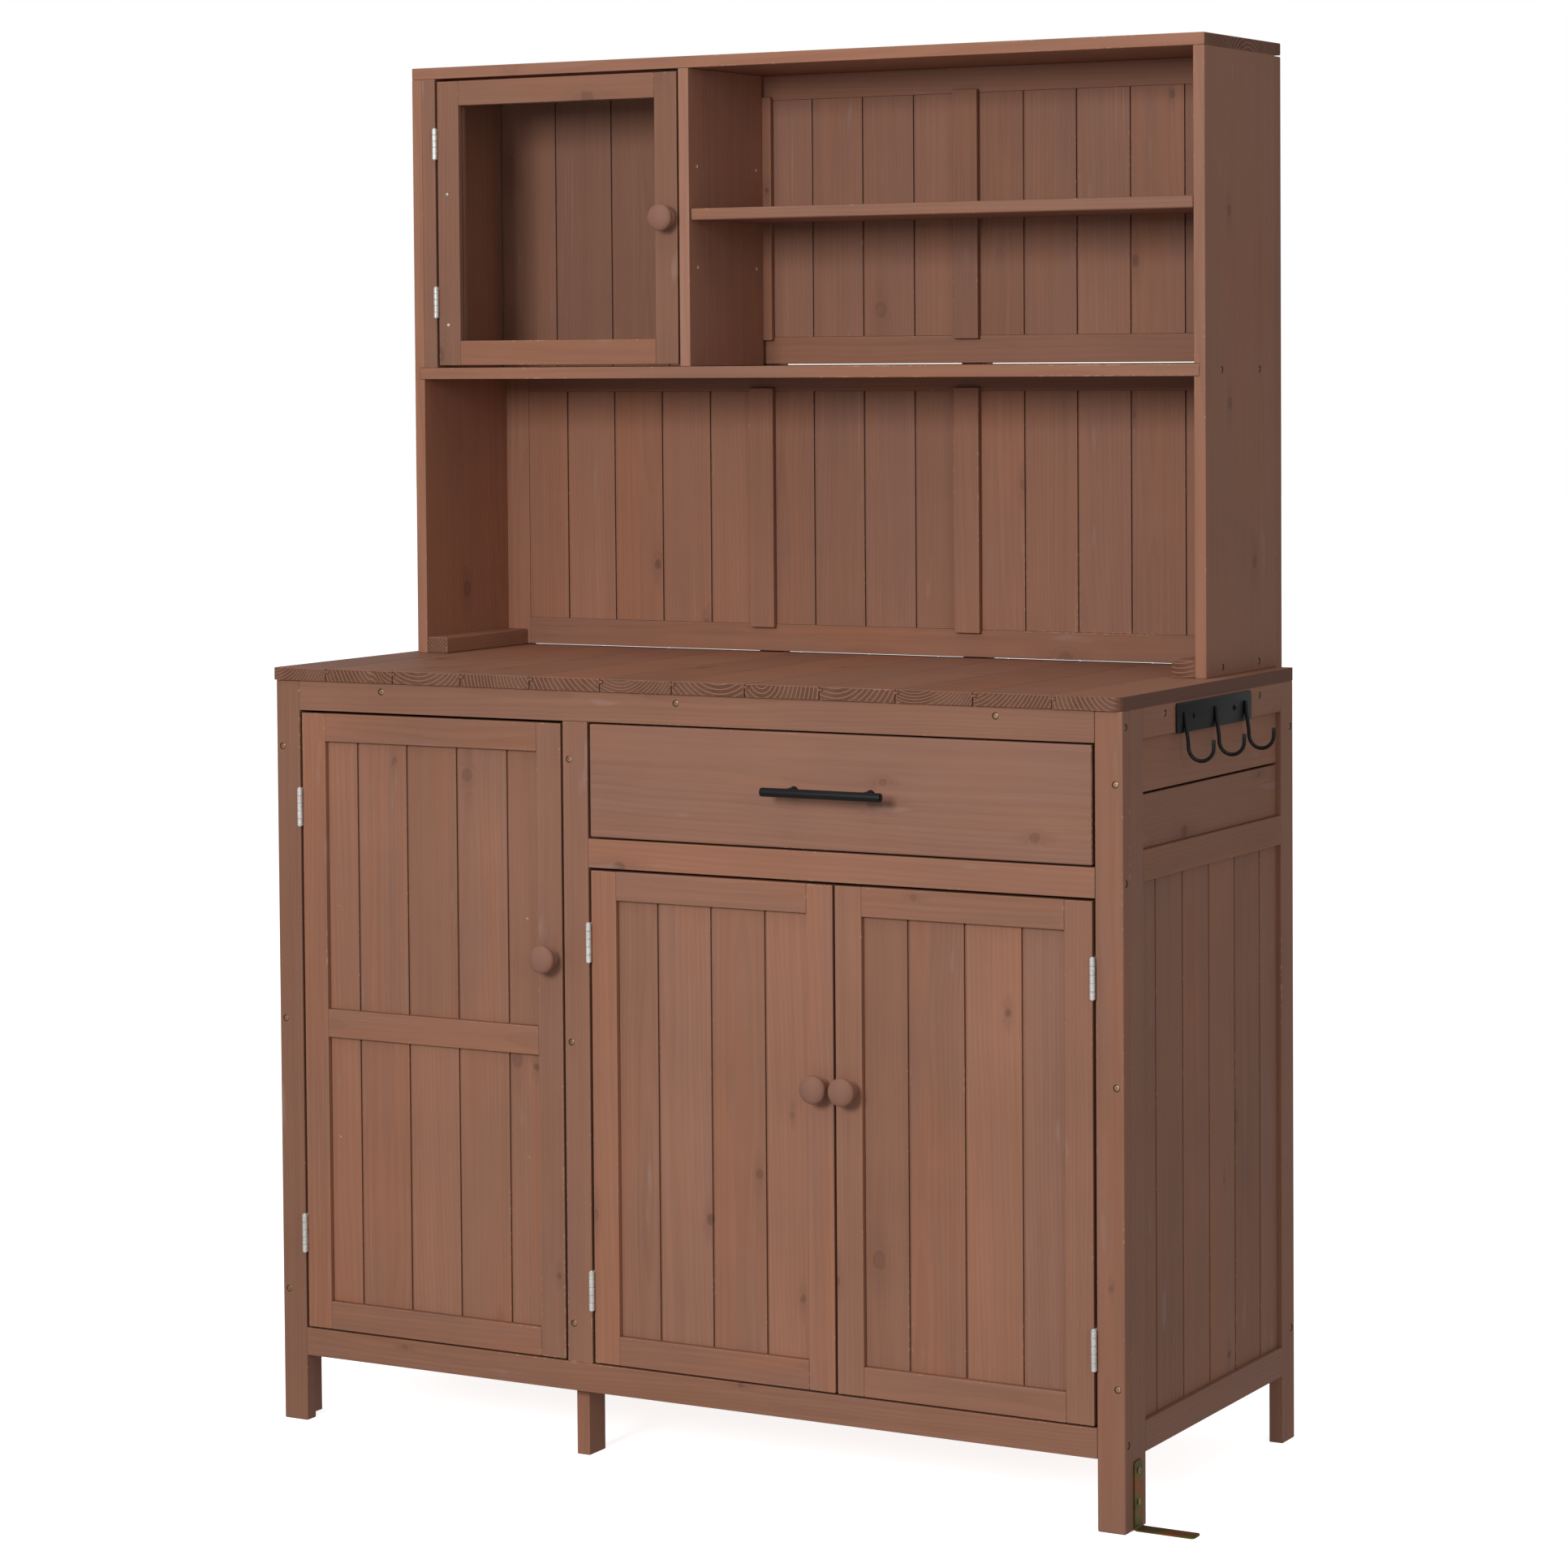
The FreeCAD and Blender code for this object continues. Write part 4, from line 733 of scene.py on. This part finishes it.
# profiles are (height, radius) in mm
KNOB_PROFILE = ((0, 0), (0, 11.2), (0.8, 11.6), (2.5, 9.6), (4.5, 8.4), (6.5, 8.0), (8.5, 8.6),
                (10.4, 10.6), (11.8, 13.0), (13.2, 14.8), (15.0, 15.7), (17.0, 16.0), (19.0, 15.9),
                (20.8, 15.3), (22.2, 14.2), (23.3, 12.6), (24.2, 10.4), (25.0, 7.6), (25.5, 5.0),
                (25.85, 2.4), (25.95, 0))
KNOB_HALF = (13, 16, 16)

for body, x, y, z in (("left_door", 380.0, FRONT_FACE, 575),
                      ("middle_door", 731.75, FRONT_FACE, 453),
                      ("right_door", 767.75, FRONT_FACE, 453),
                      ("hutch_door", 384.5, HUTCH_FACE, 1426.5)):
    turned = bmesh.new()
    lathe(turned, at(x, y, z), FRONT, KNOB_PROFILE, segments=48)
    finish_piece(turned, body + "_knob_turned", "knob_wood", body, [body + "_knob"], angle=60,
                 grain=((x, y - KNOB_HALF[0], z), KNOB_HALF, BACK, RIGHT))

HANDLE_LEFT_END, HANDLE_HEIGHT, HANDLE_OUT = 674.75, 781, 28
HANDLE_POSTS = (701.75, 797.75)
BAR_PROFILE = ((0, 0), (0, 3.9), (0.25, 4.4), (0.6, 4.75), (1.1, 4.95), (1.8, 5.0), (148.2, 5.0),
               (148.9, 4.95), (149.4, 4.75), (149.75, 4.4), (150, 3.9), (150, 0))
POST_PROFILE = ((0, 0), (0, 4.6), (0.5, 5.0), (1.6, 5.0), (2.2, 4.4), (3.0, 4.0), (21.5, 4.0),
                (23.5, 4.3), (25.0, 4.6), (26, 0))
handle = bmesh.new()
lathe(handle, at(HANDLE_LEFT_END, -HANDLE_OUT, HANDLE_HEIGHT), RIGHT, BAR_PROFILE, segments=40)
for x in HANDLE_POSTS:
    lathe(handle, at(x, FRONT_FACE, HANDLE_HEIGHT), FRONT, POST_PROFILE)
finish_piece(handle, "drawer_handle_bar", "black_steel", "drawer", ["drawer_handle"], angle=50)


def hook_path(y):
    """From the weld on the plate, down and away from it, round the bend and up to the tip."""
    bend, root, low, steps = 15.0, 1107.0, 832.0, 20
    points = [(1103.2, y, 870.5), (1103.3, y, 866), (1103.6, y, 860), (1104.6, y, 852), (1105.9, y, 844),
              (1106.8, y, 837)]
    points += [(root + bend - bend * math.cos(a), y, low - bend * math.sin(a))
               for a in (math.pi * step / steps for step in range(steps + 1))]
    return points + [(root + 2 * bend, y, 836), (root + 2 * bend, y, 841)]


WIRE_RADIUS = 2.1
HOOK_PLATE_DEPTH, HOOK_PLATE_HEIGHT = 241, 864
wires = bmesh.new()
for aside in (-84, 0, 84):
    tube(wires, hook_path(HOOK_PLATE_DEPTH + aside), WIRE_RADIUS)
finish_piece(wires, "hook_wires", "black_steel", "bench", ["hooks"], angle=60)
back_plate = bmesh.new()
plate(back_plate, (RIGHT_FACE, HOOK_PLATE_DEPTH, HOOK_PLATE_HEIGHT), BACK, UP,
      rounded_outline(206, 33, 3.5), 2.0, edge=0.5)
finish_piece(back_plate, "hook_back_plate", "black_steel", "bench", ["hook_plate"], angle=35)


# ---------------------------------------------------------------- screws and pins

def cross(angle):
    """The outline of a cross recess, as a share of its arms' length."""
    narrow = 0.34
    across = min(abs(math.cos(angle)), abs(math.sin(angle)))
    return min(1.0, max(narrow * 1.3, narrow / max(across, 1e-6)))


def screw_head(mesh, place, way, radius, turn):
    """Adds a countersunk head with a cross recess; the place is the middle of its face."""
    rim = lathe(mesh, place, way, ((-1.5, 0), (-1.5, 1.9), (-0.35, radius - 0.1), (-0.12, radius),
                                   (0.02, radius - 0.2), (0.10, radius * 0.72)), turn=turn)[-1]
    lip = lathe(mesh, place, way, ((0.10, radius * 0.62), (-0.10, radius * 0.58), (-0.95, radius * 0.42),
                                   (-1.0, 0)), turn=turn, outline=cross)[0]
    skin(mesh, [rim, lip])


WAY_OUT = {"front": FRONT, "back": BACK, "left": LEFT, "right": RIGHT, "top": UP}


def wood_screw_places():
    """The places of the CAD screws: the side that each is driven from, and where, in mm."""
    places = [("front", x, FRONT_FACE, 872.5) for x in (150, 550, 950)]
    places += [("front", x, FRONT_FACE, z) for x in (8.5, 408, 1091.5) for z in (156, 480, 804)]
    for side, x in (("left", LEFT_FACE), ("right", RIGHT_FACE)):
        places += [(side, x, 8.5, z) for z in (95, 698, 865)]
        places += [(side, x, y, 872.5) for y in (110, 372)]
        places += [(side, x, 461.5, z) for z in (130, 830)]
    for side, x in (("left", 20.5), ("right", 1079.5)):
        places += [(side, x, y, 1242.5) for y in (315, 423)]
        places += [(side, x, y, 907.5) for y in (315, 419)]
    places += [("top", x, y, 1617.5) for x in (27.5, 1072.5) for y in (310, 430)]
    uprights = (37.25, 409.25, 690.75, 1062.75)
    places += [("back", x, 488, z) for x in uprights for z in (865, 915, 1234, 1588)]
    return places


SHANK_PROFILE = ((0, 0), (0, 1.9), (20, 1.9), (26, 1.2), (28.5, 0))
SUNK, WOOD_HEAD, PLATE_HEAD = 0.95, 3.0, 3.3
HEAD_TO_SHANK = 1.45
# radians from one screw's cross to the next one's
TURN_STEP = 0.71
# a dark ring lining each countersink round its screw head: painted shade
SINK_SHADE_RING = ((-0.95, 2.95), (-0.12, 3.72), (-0.04, 3.84), (-0.10, 3.88), (-0.98, 3.04), (-0.95, 2.95))
wood_screws, sink_shade_rings = bmesh.new(), bmesh.new()
for index, (side, x, y, z) in enumerate(wood_screw_places()):
    way = Vector(WAY_OUT[side])
    screw_head(wood_screws, at(x, y, z) - way * SUNK * MM, way, WOOD_HEAD, TURN_STEP * index)
    lathe(sink_shade_rings, at(x, y, z), way, SINK_SHADE_RING, segments=28)
    lathe(wood_screws, at(x, y, z) - way * (SUNK + HEAD_TO_SHANK) * MM, -way, SHANK_PROFILE, segments=10)
finish_piece(wood_screws, "wood_screws", "screw_steel", "bench", ["screws"], angle=35)
finish_piece(sink_shade_rings, "screw_hole_shade_rings", "painted_countersink_shade", "bench", angle=35)

PLATE_SCREW_FACE = RIGHT_FACE + 3.1
plate_screws = bmesh.new()
for y in (185, 297):
    screw_head(plate_screws, at(PLATE_SCREW_FACE, y, HOOK_PLATE_HEIGHT), Vector(RIGHT), PLATE_HEAD, turn=0.4)
finish_piece(plate_screws, "hook_plate_screws", "black_steel", "bench", ["screws"], angle=35)

bracket_screws = bmesh.new()
for z in (30, 63.75):
    screw_head(bracket_screws, at(PLATE_SCREW_FACE, 30, z), Vector(RIGHT), PLATE_HEAD, turn=0.9)
finish_piece(bracket_screws, "bracket_screws", "screw_steel", "bench", ["screws"], angle=35)

PIN_PROFILE = ((-1.2, 0), (-1.2, 1.0), (-0.25, 1.75), (0.0, 1.75), (0.12, 1.4), (0.16, 0.7), (-0.25, 0.5),
               (-0.3, 0))
for name, slot, body, y, places in (
        ("left_door_panel_pins", "screw_steel", "left_door", 6,
         ((82, 616.5), (345.5, 616.9), (81, 342.3), (344.5, 340.5))),
        ("hutch_door_stile_pins", "zinc_steel", "hutch_door", HUTCH_FACE, ((70.5, 1462), (70.5, 1302)))):
    pins = bmesh.new()
    for x, z in places:
        lathe(pins, at(x, y, z), FRONT, PIN_PROFILE, segments=20)
    finish_piece(pins, name, slot, body, angle=35)


# ---------------------------------------------------------------- foot bracket

GROUND_HOLE = 2.6


def add_bracket():
    """One bent strip: a rounded bend, rounded ends and two holes in the arm on the ground."""
    thick, inner, tall, foot = 2.0, 2.2, 75.0, 70.0
    outer = inner + thick
    quarter = [math.pi / 2 * step / 8 for step in range(9)]
    outside = [(outer - outer * math.cos(a), outer - outer * math.sin(a)) for a in quarter]
    inside = [(outer - inner * math.cos(a), outer - inner * math.sin(a)) for a in reversed(quarter)]
    profile = [(0, tall)] + outside + [(foot, 0), (foot, thick)] + inside + [(thick, tall)]
    strip = bmesh.new()
    rows = [[strip.verts.new(at(RIGHT_FACE + a, y, b)) for a, b in profile] for y in (20, 40)]
    strip.faces.new(rows[0])
    strip.faces.new(list(reversed(rows[1])))
    skin(strip, rows)
    top, tip = at(RIGHT_FACE, 0, tall), at(RIGHT_FACE + foot, 0, 0)
    ends = [edge for edge in strip.edges
            if (all(abs(vertex.co.z - top.z) < SAME_PLACE for vertex in edge.verts)
                or all(abs(vertex.co.x - tip.x) < SAME_PLACE for vertex in edge.verts))
            and abs(edge.verts[0].co.y - edge.verts[1].co.y) < SAME_PLACE]
    bmesh.ops.bevel(strip, geom=ends, offset=4 * MM, offset_type="OFFSET", segments=6, profile=0.5,
                    affect="EDGES")
    piece = finish_piece(strip, "foot_bracket_strip", "yellow_zinc_steel", "bench", ["foot_bracket"],
                         angle=35)
    drilled(piece, [(at(x, 30, 1), UP, GROUND_HOLE, 4) for x in (1128, 1159.5)])


add_bracket()


# ---------------------------------------------------------------- hinges

def knuckle(mesh, place, low, high):
    """Adds one bored barrel of a hinge, its ends chamfered."""
    bore, barrel, chamfer = 1.55, 3.0, 0.3
    lathe(mesh, place, UP, ((low, bore), (low, barrel - chamfer), (low + chamfer, barrel),
                            (high - chamfer, barrel), (high, barrel - chamfer), (high, bore), (low, bore)),
          segments=28)


BARRELS, BARREL_GAP = 5, 0.15
LEAF_THICK, LEAF_BACK = 1.2, 1.75


def hinge_half(mesh, x, y, z, tall, sign, numbers):
    """Adds one leaf, screwed to the wood on the side given by sign, and its barrels."""
    step = tall / BARRELS
    back = LEAF_BACK * sign
    out = Vector((-sign, 0, 0))
    b_way = (0, 0, -sign)
    plate(mesh, (x + back, y + 11.7, z + tall / 2), BACK, b_way,
          rounded_outline(15.2, tall, 1.6), LEAF_THICK, edge=0.2)
    for number in numbers:
        low, high = number * step + BARREL_GAP, (number + 1) * step - BARREL_GAP
        knuckle(mesh, at(x, y, z), low, high)
        plate(mesh, (x + back, y + 3.2, z + (low + high) / 2), BACK, b_way,
              rounded_outline(4.0, high - low, 0.2), LEAF_THICK, edge=0.15)
    for share, aside in ((0.17, 9.6), (0.5, 13.6), (0.83, 9.6)):
        face = at(x + back, y + aside, z + tall * share) + out * (LEAF_THICK + 0.02) * MM
        screw_head(mesh, face, out, 2.5, share * 9)


HINGE_PIN = ((-1.1, 0), (-1.05, 0.9), (-0.8, 1.6), (-0.4, 1.95), (0.0, 2.0), (0.1, 1.5))
# each door's hinge line, the lower ends of its hinges, their length, and the side of the frame
HINGES = (("left_door", 34.75, -3.3, (203, 710.5), 45, -1),
          ("middle_door", 434.25, -3.3, (174, 573.5), 45, -1),
          ("right_door", 1065.25, -3.3, (174, 573.5), 45, 1),
          ("hutch_door", 55.25, 265.7, (1311, 1505), 37.5, -1))
fixed, hinge_pins = bmesh.new(), bmesh.new()
for body, x, y, heights, tall, sign in HINGES:
    moving = bmesh.new()
    for z in heights:
        hinge_half(fixed, x, y, z, tall, sign, (0, 2, 4))
        hinge_half(moving, x, y, z, tall, -sign, (1, 3))
        ends = list(HINGE_PIN) + [(tall - height, radius) for height, radius in reversed(HINGE_PIN)]
        lathe(hinge_pins, at(x, y, z), UP, ends, segments=20)
    finish_piece(moving, body + "_hinge_plates", "zinc_steel", body, [body + "_hinge_leaves"], angle=35)
finish_piece(fixed, "hinge_frame_plates", "zinc_steel", "bench", ["hinge_frame_leaves"], angle=35)
finish_piece(hinge_pins, "hinge_pins_domed", "zinc_steel", "bench", ["hinge_pins"], angle=40)


# ---------------------------------------------------------------- catches and shelf pins

# each door's catch: across, the door's inner face, the catch's height and the strike plate's height
CATCHES = (("left_door", 381.5, 17, 833.5, 833.5), ("middle_door", 719.75, 17, 677.5, 673.5),
           ("right_door", 779.75, 17, 677.5, 673.5), ("hutch_door", 382.5, 286, 1595.5, 1593.5))
catches, keepers = bmesh.new(), bmesh.new()
for body, x, y, middle, level in CATCHES:
    plate(catches, (x, y + 13, middle), RIGHT, UP, rounded_outline(36, 16, 1.5), 12, edge=0.8)
    for rise in (-3.2, 3.2):
        plate(keepers, (x, y + 1.1, middle + rise), RIGHT, UP, rounded_outline(30, 1.6, 0.4), 0.3, edge=0.1)
    strike = bmesh.new()
    plate(strike, (x, y, level), LEFT, UP, rounded_outline(26, 8, 2.0), 0.5, edge=0.15)
    screw_head(strike, at(x, y + 0.55, level), Vector(BACK), 2.0, turn=0.3)
    finish_piece(strike, body + "_strike_plate", "zinc_steel", body, angle=35)
finish_piece(catches, "catch_blocks", "catch_plastic", "bench", ["door_catches"], angle=35)
finish_piece(keepers, "catch_poles", "zinc_steel", "bench", ["door_catches"], angle=35)

SHELF_PIN = ((0, 0), (0, 2.1), (0.35, 2.45), (6.6, 2.45), (13.3, 2.45), (13.9, 1.9), (14, 0))
# a very pale lining in each spare shelf-pin hole
HOLE_LINING = ((-2, 0), (-2, 2.4), (-0.25, 2.42), (-0.2, 2.25), (-1.1, 2.1), (-1.1, 0))
PIN_IN_WOOD = 6.7
PIN_HEIGHT, SPARE_HEIGHTS = 1427.5, (1367.5, 1487.5)
PIN_PLACES = [(x, y, way) for x, way in ((414.5, RIGHT), (1065.5, LEFT)) for y in (289, 431)]
shelf_pins, spare_holes = bmesh.new(), bmesh.new()
for x, y, way in PIN_PLACES:
    lathe(shelf_pins, at(x, y, PIN_HEIGHT) - Vector(way) * PIN_IN_WOOD * MM, way, SHELF_PIN, segments=24)
    for z in SPARE_HEIGHTS:
        lathe(spare_holes, at(x, y, z), way, HOLE_LINING, segments=24)
finish_piece(shelf_pins, "shelf_pins_chamfered", "zinc_steel", "bench", ["shelf_pins"], angle=35)
finish_piece(spare_holes, "shelf_pin_hole_linings", "pale_hole_lining", "bench", angle=35)


# ---------------------------------------------------------------- stage, light and camera

# the strength of the sky and the lamps' power in watts
WORLD, KEY, RIGHT_FILL, TOP_LIGHT = 0.35, 125.0, 20.0, 22.0
LIT_POINT = Vector((0.1, 0, 0.9))


def add_floor():
    """A wide floor that the camera sees and that throws no light back on the bench."""
    mesh = bpy.data.meshes.new("floor")
    far = 30.0
    mesh.from_pydata([(-far, -far, 0), (far, -far, 0), (far, far, 0), (-far, far, 0)], [], [(0, 1, 2, 3)])
    mesh.materials.append(pale_floor("pale_floor"))
    floor = bpy.data.objects.new("floor", mesh)
    floor.visible_diffuse = False
    floor.visible_glossy = False
    SCENE.collection.objects.link(floor)


def add_area(name, place, size, power):
    """A square lamp that points at the bench."""
    light = bpy.data.lights.new(name, "AREA")
    light.shape = "SQUARE"
    light.size = size
    light.energy = power
    thing = bpy.data.objects.new(name, light)
    thing.location = place
    thing.rotation_euler = (LIT_POINT - Vector(place)).to_track_quat("-Z", "Y").to_euler()
    SCENE.collection.objects.link(thing)


def add_world(strength):
    """White, at this strength as light and at full strength as the backdrop."""
    world = bpy.data.worlds.new("studio")
    world.use_nodes = True
    tree = world.node_tree
    tree.nodes.clear()
    seen = tree.nodes.new("ShaderNodeLightPath")
    mix = tree.nodes.new("ShaderNodeMixShader")
    out = tree.nodes.new("ShaderNodeOutputWorld")
    tree.links.new(seen.outputs["Is Camera Ray"], mix.inputs[0])
    for socket, power in ((1, strength), (2, 1.0)):
        white = tree.nodes.new("ShaderNodeBackground")
        white.inputs["Color"].default_value = (1, 1, 1, 1)
        white.inputs["Strength"].default_value = power
        tree.links.new(white.outputs[0], mix.inputs[socket])
    tree.links.new(mix.outputs[0], out.inputs["Surface"])
    SCENE.world = world


def add_camera():
    """A long lens from the front right, fitted to the photo, about 1.26 m above the floor."""
    camera = bpy.data.cameras.new("camera")
    camera.sensor_width = 36.0
    camera.lens = 97.97
    camera.shift_x = 0.0002
    camera.shift_y = -0.1617
    camera.clip_end = 100
    azimuth, elevation, roll = (math.radians(angle) for angle in (29.2202, 2.3729, -0.41951))
    back = Vector((math.sin(azimuth) * math.cos(elevation), -math.cos(azimuth) * math.cos(elevation),
                   math.sin(elevation)))
    right = Vector((0, 0, 1)).cross(back).normalized()
    up = back.cross(right)
    turned_right = math.cos(roll) * right + math.sin(roll) * up
    turned_up = -math.sin(roll) * right + math.cos(roll) * up
    thing = bpy.data.objects.new("camera", camera)
    thing.matrix_world = Matrix((turned_right, turned_up, back)).transposed().to_4x4()
    thing.location = (2.403903, -4.336254, 1.263916)
    SCENE.collection.objects.link(thing)
    SCENE.camera = thing


add_floor()
add_world(WORLD)
add_area("key", (-0.10, -4.72, 2.25), 1.4, KEY)
add_area("fill_right", (4.2, -2.7, 1.9), 1.8, RIGHT_FILL)
add_area("top", (0.1, -1.6, 4.4), 2.0, TOP_LIGHT)
add_camera()
SCENE.view_settings.view_transform = "Standard"
